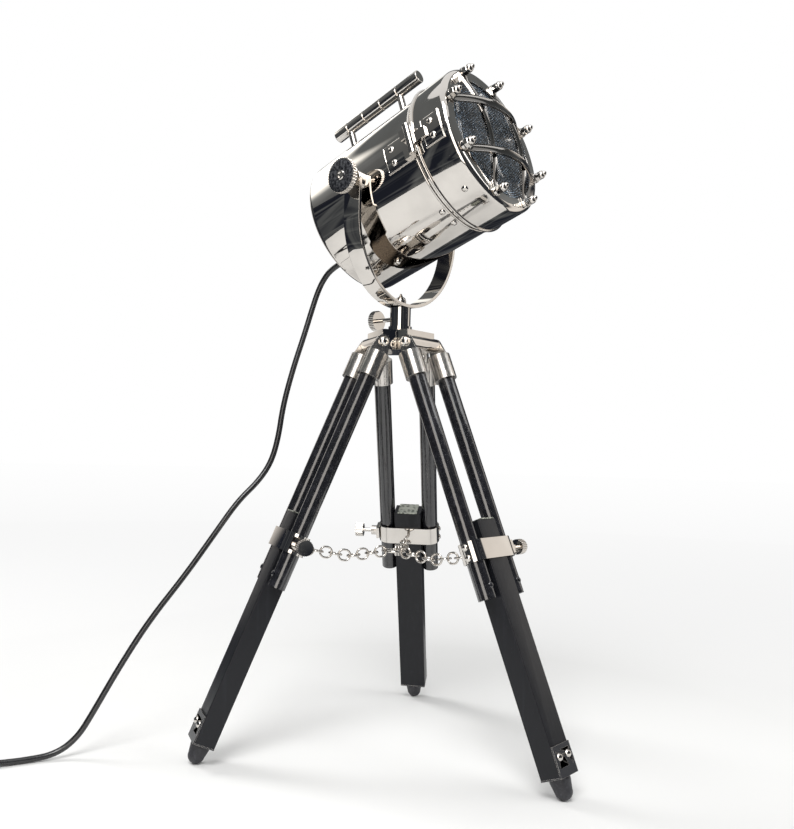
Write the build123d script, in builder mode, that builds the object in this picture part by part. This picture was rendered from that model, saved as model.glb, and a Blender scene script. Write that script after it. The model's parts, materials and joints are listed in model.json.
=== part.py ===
"""Tabletop searchlight lamp: a drum spotlight in a U fork on a sliding wooden tripod.

Millimetres. The origin lies on the tripod's axis at the surface that the feet stand on,
+Z is up, and the lamp looks towards -Y, over the front leg.
"""

from build123d import *
import math
import os

os.makedirs("parts", exist_ok=True)

# ---- Fits ---------------------------------------------------------------------------------
turning_gap = 0.05  # a shaft in its bore, on the radius
swing_gap = 0.2  # flat faces that turn past each other
sliding_gap = 0.3  # a bar between its guides, and a clamp round what it grips
seat_gap = 0.02  # a formed foot on the curved wall that carries it

# ---- Tripod -------------------------------------------------------------------------------
leg_headings = {"front": -90, "right": 30, "left": 150}
leg_splay = 23  # degrees from the vertical
leg_reach = 406.8  # hinge bolt to the centre of the foot's round tip
hinge_radius = 25  # hinge bolt from the tripod's axis
foot_tip_radius = 7.5
foot_flange_radius = 9
foot_flange_height = 3
hinge_z = leg_reach * math.cos(math.radians(leg_splay)) + foot_tip_radius

lug_half_width = 20.4
lug_radius = 6.5  # rounded end about the hinge bolt
hub_top = 11.8  # above the hinge bolts
bolt_radius = 2.5
bolt_head_radius = 4.5
bolt_head_height = 3.9

tang_thickness = 3
dowel_offset = lug_half_width + swing_gap + tang_thickness / 2  # from the leg's middle plane
dowel_radius = 8
dowel_length = 228
ferrule_radius = 10.5
ferrule_top = 11.2  # below the hinge bolt, along the leg
ferrule_depth = 24
ferrule_floor = 3
tang_foot_width = 18

bar_thickness = 19
bar_half_width = dowel_offset - dowel_radius - sliding_gap
bar_edge = 0.8
shoe_thickness = 1.4
shoe_height = 24.3
shoe_screw_spacing = 14
shoe_screw_rise = 15  # above the bar's end
shoe_screw_head = 3.5
shoe_screw_height = 2.5
stop_plate_width = 20
stop_plate_overhang = 1  # stands out over the band, front and back
stop_plate_depth = bar_thickness + 2 * stop_plate_overhang
stop_plate_thickness = 1.2
foot_depth = 12.8  # from the bar's end to the centre of the foot's round tip

band_height = 18
band_thickness = 1.5
band_below_bar_top = 17
band_above_dowel_end = 42
dowel_end = ferrule_top + ferrule_floor + dowel_length
band_middle = dowel_end - band_above_dowel_end
bar_top = band_middle - band_height / 2 - band_below_bar_top
bar_end = leg_reach - foot_depth
bar_length = bar_end - bar_top
band_inner = bar_thickness / 2 + sliding_gap
band_end_centre = dowel_offset + dowel_radius + sliding_gap - band_inner
band_outer = band_inner + band_thickness
band_end = band_end_centre + band_outer
boss_half_width = 7
boss_height = 12
boss_foot = 3.2
boss_length = 9
boss_neck_radius = 5
clamp_screw_radius = 2
clamp_knob_radius = 7.25
clamp_knob_height = 8
clamp_knob_ridges = 28
clamp_knob_stand = 9  # clear length of screw between boss and knob
band_screw_spacing = 9.4
small_screw_shank = 1.2
small_screw_head = 3
small_screw_height = 1.6
dowel_screw_rise = 11.2  # above the dowel's lower end

eye_radius = 4.5  # middle of the wire
eye_wire = 2
eye_shank = 4.7  # from the band to the middle of the eye's wire
eye_shank_radius = 0.8

# ---- Chain --------------------------------------------------------------------------------
chain_ring_inner = 9.5
chain_ring_width = 2.5
chain_ring_height = 2
chain_ring_drop = 1.67  # ring's middle below the clamps' eyes
chain_wire = 2
chain_link_width = 12
chain_link_gap = 0.25
links_per_half = 4
chain_sag = 5

# ---- Head ---------------------------------------------------------------------------------
beam_rise = 19.3  # degrees that the beam looks up
drum_radius = 65
drum_wall = 1.2
drum_rear = -62.6  # along the beam from the tilt axis
drum_front = 66
drum_corner = 6
drum_bead_place = 62.4
door_gap = 0.3
ring_step = 2  # the ring stands out of the drum by this
ring_radius = drum_radius + ring_step
ring_wall = 1.2
ring_length = 36.5
ring_corner = 5
ring_lip_width = 12
ring_lip_radius = ring_radius - ring_lip_width
bead_offset = 0.3  # the door's rolled bead stands out of the ring by this at its middle
lens_inset = 8
lens_radius = ring_radius - lens_inset
lens_thickness = 4
lens_crown = 1
seal_thickness = 1.2
stud_inset = 6
stud_circle = ring_radius - stud_inset
stud_count = 8
stud_radius = 1.5
stud_washer_radius = 4.2
stud_washer_height = 0.8
stud_hex = 7  # across flats
stud_hex_height = 4.2
stud_spike_height = 6.4
stud_retainer_radius = 4.5
stud_retainer_height = 1.2
guard_offset = stud_circle * math.sin(math.pi / stud_count)  # each strip runs from stud to stud
guard_width = 7
guard_thickness = 2.2
guard_tab = 7  # flat end of a strip, inside its stud
guard_rises = {"upright": 9, "crosswise": 12.4}

hinge_stand = 5.4  # hinge pin outside the ring
door_axis_out = ring_radius + hinge_stand
knuckle_radius = 3.4
hinge_pin_radius = 1.5
hinge_pin_end = 1  # below the lowest knuckle
hinge_pin_head = 1.2  # its height, and its overhang less the swing gap
knuckle_half = 4.3
hinge_half_height = 13
leaf_thickness = 1.5
leaf_overlap = 5  # an arm's root in its leaf
drum_leaf_length = 28
door_leaf_length = 19.2
leaf_screw_inset = 9
leaf_setback = 5  # drum leaf's near end behind the drum's mouth
door_leaf_setback = 9.5  # door leaf's near end in front of the ring's near edge
leaf_screw_half_turn = 5.5  # degrees each side of the leaf's middle

boss_flange_radius = 9
boss_neck = 6
boss_nut_radius = 10
boss_nut_depth = 6
tilt_screw_radius = 3
tilt_nut_hex = 11
tilt_nut_height = 2.8
tilt_stem_radius = 4
tilt_stem_length = 6.9
tilt_knob_radius = 15
tilt_knob_height = 5
tilt_knob_ridges = 40

handle_stand = 33  # grip's middle above the drum
handle_rise = drum_radius + handle_stand
handle_radius = 6
handle_rear = -55.8
handle_length = 106
handle_grooves = (0.16, 0.36, 0.566, 0.76)  # shares of the bar's length
groove_depth = 0.8
groove_width = 2
post_radius = 3.2
post_foot_radius = 5.5
post_foot_height = 2
post_stud_radius = 2
post_stud_inset = 2  # stud's end short of the grip's middle
post_nut_height = 2.5
post_nut_gap = 0.5

holder_flange_radius = 16
holder_flange_height = 3
holder_radius = 14.5
holder_length = 36.4
bulb_neck_radius = 12
bulb_radius = 22
bulb_centre = 5
bulb_neck_length = 32
reflector_hole_radius = 17
reflector_rim_inset = 5
reflector_rim_radius = drum_radius - reflector_rim_inset
reflector_rear = -45
reflector_front = -12
reflector_wall = 0.8
reflector_skirt = 4

gland_place = (-4, -25)  # across and up from the beam's axis
gland_neck_radius = 4.5
gland_nut_radius = 6
gland_nut_height = 3
gland_flange_radius = 8
gland_flange_height = 3
gland_boot_radius = 6
gland_boot_length = 20
boot_wall = 0.8  # rubber about the cord at a boot's thin end

latch_stand = 6  # latch screw outside the ring
latch_out = ring_radius + latch_stand
latch_half_width = 6
latch_ear_length = 11
latch_reach = ring_radius + latch_ear_length
latch_screw_radius = 1.8
latch_knob_radius = 5.5
latch_knob_height = 8
latch_knob_ridges = 24
latch_knob_groove = 0.4
latch_ear_thickness = 5
drum_ear_setback = 3  # behind the drum's mouth
door_ear_setback = 4  # in front of the ring's near edge
latch_tip_inset = 0.6  # screw's tip inside the drum's ear
latch_knob_shoulder = 1

trim_screw_shank = 1.25
trim_screw_length = 3.4
trim_screw_head = 3
trim_screw_height = 1.5
reflector_screw_turns = (-104, 76)  # degrees about the beam
mouth_screw_turns = (-124, -110, 82)
mouth_screw_inset = 9  # behind the drum's mouth
door_screw_turns = (-131, 100)
door_screw_inset = 21.3  # in front of the ring's near edge

# ---- Stem and fork ------------------------------------------------------------------------
collar_radius = 11
collar_height = 5.5
sleeve_radius = 9.65
sleeve_height = 17.5
spigot_radius = 7
stem_radius = 6
stem_length = 18
fork_clearance = 5  # inside the fork, each side of the drum
fork_lift = 0.24  # the fork's foot above the sleeve
fork_thickness = 3
fork_width = 18
fork_pivot_rise = 29.5  # tilt axis above the middle of the fork's round foot
fork_end_radius = 9
stem_neck_radius = 3
acorn_radius = 5
acorn_height = 10.2
pan_screw_radius = 2
pan_screw_rise = 13.2  # above the hub
pan_knob_radius = 9.75
pan_knob_height = 6
pan_knob_ridges = 36
pan_knob_stand = 16.3  # clear length of screw outside the sleeve

collar_z = hinge_z + hub_top
sleeve_top = collar_z + collar_height + sleeve_height
fork_inner_radius = drum_radius + fork_clearance
fork_outer_radius = fork_inner_radius + fork_thickness
fork_bottom = sleeve_top + fork_lift
fork_centre_z = fork_bottom + fork_outer_radius
pivot_z = fork_centre_z + fork_pivot_rise

# ---- Cord ---------------------------------------------------------------------------------
cord_diameter = 5.6
cord_straight_exit = 14
cord_route = [
    (-4.4, 96, 454.1),
    (-6.1, 102.7, 441.3),
    (-11.5, 105.3, 422.2),
    (-19.5, 107.5, 396),
    (-31, 110.5, 362),
    (-41, 113.2, 325),
    (-45, 114.8, 293),
    (-52, 117, 268),
    (-65.5, 121.5, 248.5),
    (-84, 129, 230),
    (-106, 137, 198),
    (-133, 147, 159),
    (-164, 158.5, 119),
    (-190, 168, 77),
    (-211, 175.6, 39),
    (-224, 180.5, 17),
    (-241.5, 187, 4.5),
    (-265, 195.4, 2.8),
    (-292, 205.2, 3.6),
    (-320, 215.4, 6.5),
    (-376.4, 236, 6.5),
    (-404.5, 246.3, 4.6),
    (-417.4, 261.6, 2.8),
    (-420.8, 280.9, 2.8),
]
tail_route = [
    (-398, 309, 8.4),
    (-382, 311.5, 8.2),
    (-367, 313, 7),
    (-352, 314.3, 7),
]
coil_centre = (-383, 277.5)
coil_mean_radius = 31
coil_columns = 3
coil_layers = 2
switch_length = 44
switch_width = 22
switch_height = 14
switch_corner = 2.5
rocker_length = 15
rocker_width = 9
rocker_height = 5
rocker_clearance = 1
rocker_throw = 8  # degrees from level to each of its two rests
plug_relief_length = 22
plug_length = 36
plug_width = 30
plug_height = 14
plug_pin_radius = 2
plug_pin_length = 19
plug_pin_spacing = 19
plug_pin_nose = 1.2
plug_neck_half_width = 5
plug_neck_length = 14
plug_corner = 2.5
plug_rim = 2  # rounding of the plug's upper edge


# ---- Shared shapes ------------------------------------------------------------------------
def save(piece, name):
    """Labels a finished piece and writes it."""
    piece.label = name
    export_step(piece, f"parts/{name}.step")


def group(*pieces):
    """Holds separate solids in one node."""
    return Compound(children=[solid for piece in pieces for solid in piece.solids()])


def section_of(plane):
    """The plane whose local x is a plane's x and whose local y is its normal."""
    return Plane(origin=plane.origin, x_dir=plane.x_dir, z_dir=-plane.y_dir)


def side_of(plane):
    """The plane whose local x is a plane's y and whose local y is its normal."""
    return Plane(origin=plane.origin, x_dir=plane.y_dir, z_dir=plane.x_dir)


def plane_in(frame, place, along, beside=None):
    """A plane at a place of a frame, with its normal along a direction of that frame."""
    origin = frame.from_local_coords(Vector(*place))
    normal = frame.from_local_coords(Vector(*along)) - frame.origin
    if beside is None:
        return Plane(origin=origin, z_dir=normal)
    return Plane(origin=origin, x_dir=frame.from_local_coords(Vector(*beside)) - frame.origin, z_dir=normal)


def turn_outline(plane, *outline, mode=Mode.ADD):
    """Turns an outline of (radius, height) points about a plane's normal."""
    with BuildSketch(section_of(plane)) as profile:
        with BuildLine():
            Polyline(*outline, close=True)
        make_face()
    revolve(profile.sketch, axis=Axis(plane.origin, plane.z_dir), mode=mode)


def turn_domed(plane, *outline):
    """The same with a round nose from the outline's last point up to its first, on the axis."""
    (_, top), (radius, shoulder) = outline[0], outline[-1]
    nose = top - shoulder
    drop = (nose**2 - radius**2) / (2 * nose)
    nose_radius = nose - drop
    start = math.degrees(math.atan2(-drop, radius))
    with BuildSketch(section_of(plane)) as profile:
        with BuildLine():
            Polyline(*outline)
            CenterArc((0, shoulder + drop), nose_radius, start, 90 - start)
        make_face()
    revolve(profile.sketch, axis=Axis(plane.origin, plane.z_dir))


def round_head_screw(plane, head_radius, head_height, shank_radius, shank_length):
    """A round head that sits on a plane, with its shank below it."""
    turn_domed(plane, (0, head_height), (0, -shank_length), (shank_radius, -shank_length),
               (shank_radius, 0), (head_radius, 0))


def knurled_knob(plane, radius, height, ridges, depth=0.5):
    """A wheel with shallow grooves round its rim, standing on a plane."""
    with BuildSketch(plane) as wheel:
        Circle(radius)
        with PolarLocations(radius + depth, ridges):
            Circle(2 * depth, mode=Mode.SUBTRACT)
    extrude(wheel.sketch, amount=height)


def bore(plane, radius, depth):
    """A round hole that goes down from a plane."""
    with BuildSketch(plane) as hole:
        Circle(radius)
    extrude(hole.sketch, amount=-depth, mode=Mode.SUBTRACT)


# ---- Frames -------------------------------------------------------------------------------
def leg_frame(heading):
    """Local x runs across a leg, y outwards and z down it, from the hinge bolt's middle."""
    turn, splay = math.radians(heading), math.radians(leg_splay)
    outward = Vector(math.cos(turn), math.sin(turn), 0)
    across = Vector(-math.sin(turn), math.cos(turn), 0)
    down = outward * math.sin(splay) - Vector(0, 0, math.cos(splay))
    return Plane(origin=outward * hinge_radius + Vector(0, 0, hinge_z), x_dir=across, z_dir=down)


tilt = math.radians(beam_rise)
head = Plane(origin=(0, 0, pivot_z), x_dir=(1, 0, 0), z_dir=(0, -math.cos(tilt), math.sin(tilt)))
beam = Axis(head.origin, head.z_dir)


# ---- Tripod -------------------------------------------------------------------------------
spigot_depth = hub_top + lug_radius
pan_plane = Plane(origin=(0, 0, collar_z + pan_screw_rise), z_dir=(0, 1, 0))


def make_hub():
    """Three lugs that meet at the axis, bored for the hinge bolts and the sleeve's spigot."""
    with BuildPart() as hub:
        for heading in leg_headings.values():
            outward = Vector(1, 0, 0).rotate(Axis.Z, heading)
            across = outward.cross(Vector(0, 0, 1))
            with BuildSketch(Plane(origin=(0, 0, hinge_z), x_dir=outward, z_dir=across)):
                with Locations((hinge_radius / 2, (hub_top - lug_radius) / 2)):
                    Rectangle(hinge_radius, hub_top + lug_radius)
                with Locations((hinge_radius, 0)):
                    Circle(lug_radius)
            extrude(amount=lug_half_width, both=True)
        for heading in leg_headings.values():
            bolt_plane = side_of(leg_frame(heading))
            bore(bolt_plane.offset(lug_half_width), bolt_radius + turning_gap, 2 * lug_half_width)
        bore(Plane.XY.offset(collar_z), spigot_radius + turning_gap, spigot_depth)
    return hub.part


def make_hinge_bolts():
    """One bolt a leg, through both tangs and the lug, with a head at each end."""
    half = dowel_offset + tang_thickness / 2 + swing_gap / 2
    with BuildPart() as bolts:
        for heading in leg_headings.values():
            leg = leg_frame(heading)
            with BuildSketch(side_of(leg)):
                Circle(bolt_radius)
            extrude(amount=half, both=True)
            for end in (1, -1):
                turn_domed(plane_in(leg, (end * half, 0, 0), (end, 0, 0)), (0, bolt_head_height),
                           (0, 0), (bolt_head_radius, 0), (bolt_head_radius, bolt_head_height * 0.4))
    return bolts.part


def make_stem_sleeve():
    """The collar and sleeve on the hub, bored for the fork's stem and tapped for its screw."""
    top = collar_height + sleeve_height
    with BuildPart() as sleeve:
        turn_outline(Plane.XY.offset(collar_z), (0, -spigot_depth), (spigot_radius, -spigot_depth),
                     (spigot_radius, 0), (collar_radius, 0), (collar_radius, collar_height),
                     (sleeve_radius, collar_height), (sleeve_radius, top), (0, top))
        bore(Plane.XY.offset(sleeve_top), stem_radius + turning_gap, stem_length)
        bore(pan_plane.offset(sleeve_radius), pan_screw_radius + turning_gap, sleeve_radius)
    return sleeve.part


def make_pan_screw():
    """The thumb screw that locks the fork's stem in the sleeve."""
    tip = stem_radius + swing_gap
    knob = sleeve_radius + pan_knob_stand
    with BuildPart() as screw:
        turn_outline(pan_plane, (0, tip), (pan_screw_radius, tip), (pan_screw_radius, knob), (0, knob))
        knurled_knob(pan_plane.offset(knob), pan_knob_radius, pan_knob_height, pan_knob_ridges)
    return screw.part


def make_ferrules(leg):
    """Two cups for the dowels, each with a tang that hangs on the hinge bolt."""
    with BuildPart() as ferrules:
        for side in (1, -1):
            mouth = ferrule_top + ferrule_depth
            turn_outline(plane_in(leg, (side * dowel_offset, 0, 0), (0, 0, 1)), (0, ferrule_top),
                         (ferrule_radius, ferrule_top), (ferrule_radius, mouth), (0, mouth))
            bore(plane_in(leg, (side * dowel_offset, 0, mouth), (0, 0, 1)),
                 dowel_radius + turning_gap, ferrule_depth - ferrule_floor)
            with BuildSketch(side_of(leg).offset(side * dowel_offset)):
                Circle(lug_radius)
                with Locations((0, ferrule_top)):
                    Rectangle(tang_foot_width, 1)
                make_hull()
            extrude(amount=tang_thickness / 2, both=True)
        bore(side_of(leg).offset(2 * dowel_offset), bolt_radius + turning_gap, 4 * dowel_offset)
    return ferrules.part


def band_screw_places(leg):
    """Where the two screws enter the band's closed end, with their normals."""
    return [plane_in(leg, (-band_end, 0, band_middle + step * band_screw_spacing / 2), (-1, 0, 0))
            for step in (1, -1)]


def dowel_screw_places(leg):
    """Where a small screw enters each dowel's outer side, near its lower end."""
    return [plane_in(leg, (side * dowel_offset, dowel_radius, dowel_end - dowel_screw_rise), (0, 1, 0))
            for side in (1, -1)]


def make_dowels(leg):
    """The two round upper rods and the small screws near their lower ends."""
    top = ferrule_top + ferrule_floor
    with BuildPart() as dowels:
        for side in (1, -1):
            turn_outline(plane_in(leg, (side * dowel_offset, 0, 0), (0, 0, 1)), (0, top),
                         (dowel_radius, top), (dowel_radius, dowel_end), (0, dowel_end))
        for place in dowel_screw_places(leg):
            bore(place, small_screw_shank + turning_gap, dowel_radius)
        for place in band_screw_places(leg):
            bore(place, small_screw_shank + turning_gap, band_end - dowel_offset)
    with BuildPart() as screws:
        for place in dowel_screw_places(leg):
            round_head_screw(place, small_screw_head, small_screw_height, small_screw_shank, dowel_radius - 1)
    return group(dowels.part, screws.part)


def make_bar(leg):
    """The rectangular lower bar that slides between the dowels."""
    with BuildPart() as bar:
        with BuildSketch(leg.offset(bar_top)):
            RectangleRounded(2 * bar_half_width, bar_thickness, bar_edge)
        extrude(amount=bar_length)
        for place in shoe_screw_places(leg):
            bore(place.offset(-shoe_thickness), small_screw_shank + turning_gap, bar_thickness / 2)
    return bar.part


def shoe_screw_places(leg):
    """Where the two screws stand on the shoe's outer face."""
    return [plane_in(leg, (side * shoe_screw_spacing / 2, bar_thickness / 2 + shoe_thickness,
                           bar_end - shoe_screw_rise), (0, 1, 0)) for side in (1, -1)]


def make_bar_fittings(leg):
    """The stop plate on the bar's top end, the shoe round its foot, and the shoe's screws."""
    outer = bar_thickness / 2
    with BuildPart() as shoe:
        with BuildSketch(side_of(leg)):
            with BuildLine():
                Polyline((outer, bar_end - shoe_height), (outer + shoe_thickness, bar_end - shoe_height),
                         (outer + shoe_thickness, bar_end + shoe_thickness),
                         (-outer, bar_end + shoe_thickness), (-outer, bar_end), (outer, bar_end), close=True)
            make_face()
        extrude(amount=bar_half_width, both=True)
        for place in shoe_screw_places(leg):
            bore(place, small_screw_shank + turning_gap, shoe_thickness)
    with BuildPart() as screws:
        for place in shoe_screw_places(leg):
            round_head_screw(place, shoe_screw_head, shoe_screw_height, small_screw_shank, bar_thickness / 2)
    with BuildPart() as stop:
        with BuildSketch(leg.offset(bar_top)):
            Rectangle(stop_plate_width, stop_plate_depth)
        extrude(amount=-stop_plate_thickness)
    return group(shoe.part, screws.part, stop.part)


def make_foot(leg):
    """The rubber foot under the shoe, with its round tip on the ground."""
    seat = bar_end + shoe_thickness
    with BuildPart() as foot:
        with BuildSketch(section_of(leg)):
            with BuildLine():
                Polyline((0, leg_reach + foot_tip_radius), (0, seat), (foot_flange_radius, seat),
                         (foot_flange_radius, seat + foot_flange_height), (foot_tip_radius, leg_reach))
                CenterArc((0, leg_reach), foot_tip_radius, 0, 90)
            make_face()
        revolve(axis=Axis(leg.origin, leg.z_dir))
    return foot.part


def make_clamp(leg):
    """The band round dowels and bar with its screw boss, its two screws and the chain's eye."""
    with BuildPart() as band:
        with BuildSketch(leg.offset(band_middle - band_height / 2)):
            SlotCenterToCenter(2 * band_end_centre, 2 * band_outer)
            SlotCenterToCenter(2 * band_end_centre, 2 * band_inner, mode=Mode.SUBTRACT)
        extrude(amount=band_height)
        boss = plane_in(leg, (band_end - band_thickness / 2, 0, band_middle), (1, 0, 0), (0, 1, 0))
        with BuildSketch(boss):
            Rectangle(2 * boss_half_width, boss_height)
        extrude(amount=boss_foot)
        with BuildSketch(boss):
            Circle(boss_neck_radius)
        extrude(amount=boss_length)
        bore(boss.offset(boss_length), clamp_screw_radius + turning_gap, boss_length + band_thickness)
        for place in band_screw_places(leg):
            bore(place, small_screw_shank + turning_gap, 2 * band_thickness)
    with BuildPart() as screws:
        for place in band_screw_places(leg):
            round_head_screw(place, small_screw_head, small_screw_height, small_screw_shank,
                             band_end - dowel_offset - 1)
    with BuildPart() as eye:
        with BuildSketch(plane_in(leg, (0, -band_outer, band_middle), (0, -1, 0))):
            Circle(eye_shank_radius)
        extrude(amount=eye_shank)
        with BuildSketch(section_of(eye_plane(leg))):
            with Locations((eye_radius, 0)):
                Circle(eye_wire / 2)
        revolve(axis=Axis(eye_plane(leg).origin, eye_plane(leg).z_dir))
    return group(band.part, screws.part, eye.part)


def eye_plane(leg):
    """The middle of a clamp's eye, with the eye's own normal across the leg."""
    return plane_in(leg, (0, -band_outer - eye_shank - eye_radius, band_middle), (1, 0, 0))


def make_clamp_screw(leg):
    """The thumb screw that pinches the dowels on the bar."""
    tip = dowel_offset + dowel_radius + swing_gap
    knob = band_end - band_thickness / 2 + boss_length + clamp_knob_stand
    frame = plane_in(leg, (0, 0, band_middle), (1, 0, 0))
    with BuildPart() as screw:
        turn_outline(frame, (0, tip), (clamp_screw_radius, tip), (clamp_screw_radius, knob), (0, knob))
        knurled_knob(frame.offset(knob), clamp_knob_radius, clamp_knob_height, clamp_knob_ridges)
    return screw.part


# ---- Chain --------------------------------------------------------------------------------
chain_ring_z = eye_plane(leg_frame(0)).origin.Z - chain_ring_drop


def chain_points(heading):
    """A branch's contact with the ring, its lowest point and its contact with the clamp's eye."""
    outward = Vector(1, 0, 0).rotate(Axis.Z, heading)
    eye = eye_plane(leg_frame(heading)).origin
    near = outward * (chain_ring_inner - chain_link_gap) + Vector(0, 0, chain_ring_z)
    far = eye - outward * (eye_radius - eye_wire / 2 - chain_link_gap)
    middle = (near + far) * 0.5 - Vector(0, 0, chain_sag)
    return near, middle, far


def make_chain_half(start, end, first):
    """Links from one point to another, turned a quarter each; the first is upright for first 0."""
    along = (end - start).normalized()
    across = along.cross(Vector(0, 0, 1)).normalized()
    pitch = (end - start).length / links_per_half
    bend = (chain_link_width - chain_wire) / 2
    straight = (pitch + chain_link_gap) / 2 + chain_wire / 2 - bend
    links = []
    for count in range(links_per_half):
        normal = across if (count + first) % 2 == 0 else across.cross(along)
        frame = Plane(origin=start + along * pitch * (count + 0.5), x_dir=along, z_dir=normal)
        with BuildPart() as link:
            with BuildLine(frame) as path:
                Line((-straight, bend), (straight, bend))
                CenterArc((straight, 0), bend, 90, -180)
                Line((straight, -bend), (-straight, -bend))
                CenterArc((-straight, 0), bend, -90, -180)
            with BuildSketch(Plane(origin=path.line @ 0, z_dir=path.line % 0)):
                Circle(chain_wire / 2)
            sweep()
        links.append(link.part)
    return group(*links)


def make_chain_ring():
    """The flat ring in the middle, where the three branches meet."""
    outer = chain_ring_inner + chain_ring_width
    with BuildPart() as ring:
        with BuildSketch(Plane.XY.offset(chain_ring_z - chain_ring_height / 2)):
            Circle(outer)
            Circle(chain_ring_inner, mode=Mode.SUBTRACT)
        extrude(amount=chain_ring_height)
        fillet(ring.edges(), chain_ring_height * 0.3)
    return ring.part


# ---- Fork and tilt knobs ------------------------------------------------------------------
left_knob = Plane(origin=(0, 0, pivot_z), x_dir=(0, 1, 0), z_dir=(-1, 0, 0))
right_knob = Plane(origin=(0, 0, pivot_z), x_dir=(0, 1, 0), z_dir=(1, 0, 0))


def make_fork():
    """A flat strap bent to a U, drilled for the stem and for both tilt screws."""
    with BuildPart() as fork:
        with BuildSketch(Plane.XZ):
            with BuildLine():
                for radius in (fork_outer_radius, fork_inner_radius):
                    CenterArc((0, fork_centre_z), radius, 180, 180)
                    Line((radius, fork_centre_z), (radius, pivot_z + fork_end_radius))
                    Line((-radius, fork_centre_z), (-radius, pivot_z + fork_end_radius))
                for side in (1, -1):
                    Line((side * fork_inner_radius, pivot_z + fork_end_radius),
                         (side * fork_outer_radius, pivot_z + fork_end_radius))
            make_face()
        extrude(amount=fork_width / 2, both=True)
        fillet(fork.edges().filter_by(Axis.X).group_by(Axis.Z)[-1], fork_end_radius - 0.1)
        fillet(fork.edges().filter_by(GeomType.CIRCLE).group_by(Axis.Z)[0], fork_thickness * 0.12)
        bore(right_knob.offset(fork_outer_radius), tilt_screw_radius + 2 * turning_gap, 2 * fork_outer_radius)
        bore(Plane.XY.offset(fork_centre_z), stem_neck_radius + turning_gap, fork_outer_radius)
    return fork.part


def make_stem_bolt():
    """The pin that turns in the sleeve, its neck through the fork and the spiked acorn on top."""
    rim = fork_inner_radius - math.sqrt(fork_inner_radius**2 - acorn_radius**2)
    nut = fork_bottom + fork_thickness + rim
    hex_top = nut + acorn_height * 0.35
    dome = nut + acorn_height * 0.7
    shoulder = fork_bottom
    foot = sleeve_top - stem_length + swing_gap
    with BuildPart() as bolt:
        turn_outline(Plane.XY, (0, foot), (stem_radius, foot), (stem_radius, shoulder),
                     (stem_neck_radius, shoulder), (stem_neck_radius, nut), (acorn_radius, nut),
                     (acorn_radius, hex_top), (acorn_radius * 0.8, dome - 1), (acorn_radius * 0.4, dome),
                     (acorn_radius * 0.12, nut + acorn_height), (0, nut + acorn_height))
    return bolt.part


def make_tilt_knob(frame):
    """A tilt screw with its hex nut, stem and ridged wheel; the frame's normal points outwards."""
    tip = drum_radius - drum_wall - boss_nut_depth
    nut = fork_outer_radius + swing_gap
    stem = nut + tilt_nut_height
    wheel = stem + tilt_stem_length
    with BuildPart() as knob:
        turn_outline(frame, (0, tip), (tilt_screw_radius, tip), (tilt_screw_radius, stem),
                     (tilt_stem_radius, stem), (tilt_stem_radius, wheel), (0, wheel))
        with BuildSketch(frame.offset(nut)):
            RegularPolygon(tilt_nut_hex / 2, 6, major_radius=False)
        extrude(amount=tilt_nut_height)
        knurled_knob(frame.offset(wheel), tilt_knob_radius, tilt_knob_height, tilt_knob_ridges)
    return knob.part


# ---- Drum ---------------------------------------------------------------------------------
def at_wall(radius, turn, place):
    """The plane that touches a round wall from outside, at a turn about the beam and a place on it."""
    across, up = math.cos(math.radians(turn)), math.sin(math.radians(turn))
    return plane_in(head, (radius * across, radius * up, place), (across, up, 0), (-up, across, 0))


def turn_wall(radius, lip, wall, corner, near, far, bead):
    """A thin round wall from near to far along the beam, turned inwards at its far end to a lip.

    The bead is the middle of a round fold in the wall, as (radius, place along the beam).
    """
    step = math.copysign(1, far - near)
    bend = radius - corner
    start = far - step * corner
    half = math.sqrt(0.5)
    with BuildSketch(section_of(head)) as profile:
        with BuildLine():
            Polyline((radius, start), (radius, near), (radius - wall, near), (radius - wall, start))
            ThreePointArc((radius - wall, start),
                          (bend + (corner - wall) * half, start + step * (corner - wall) * half),
                          (bend, far - step * wall))
            Polyline((bend, far - step * wall), (lip, far - step * wall), (lip, far), (bend, far))
            ThreePointArc((bend, far), (bend + corner * half, start + step * corner * half), (radius, start))
        make_face()
        with Locations(bead):
            Circle(wall)
    revolve(profile.sketch, axis=beam)


def trim_to_wall(radius, inside=False):
    """Cuts away what the current piece has inside a round wall about the beam, or outside it."""
    reach = drum_front - drum_rear + ring_length
    with BuildSketch(head.offset(drum_rear - drum_corner)) as cutter:
        if inside:
            Circle(2 * radius)
            Circle(radius, mode=Mode.SUBTRACT)
        else:
            Circle(radius)
    extrude(cutter.sketch, amount=reach + 2 * drum_corner, mode=Mode.SUBTRACT)


drum_inner = drum_radius - drum_wall
ring_near = drum_front + door_gap
ring_far = ring_near + ring_length
lens_front = ring_far - ring_wall - seal_thickness
post_places = [handle_rear + handle_length * handle_grooves[end] for end in (0, -1)]
drum_leaf_place = drum_front - leaf_setback - drum_leaf_length
door_leaf_place = ring_near + door_leaf_setback
door_ear_front = ring_near + door_ear_setback + latch_ear_thickness
reflector_screw_place = reflector_front - reflector_skirt / 2
reflector_screws = [(turn, reflector_screw_place) for turn in reflector_screw_turns]
drum_screw_places = reflector_screws + [(turn, drum_front - mouth_screw_inset) for turn in mouth_screw_turns]
door_screw_places = [(turn, ring_near + door_screw_inset) for turn in door_screw_turns]
leaf_screw_turns = (180 - leaf_screw_half_turn, 180 + leaf_screw_half_turn)


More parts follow.
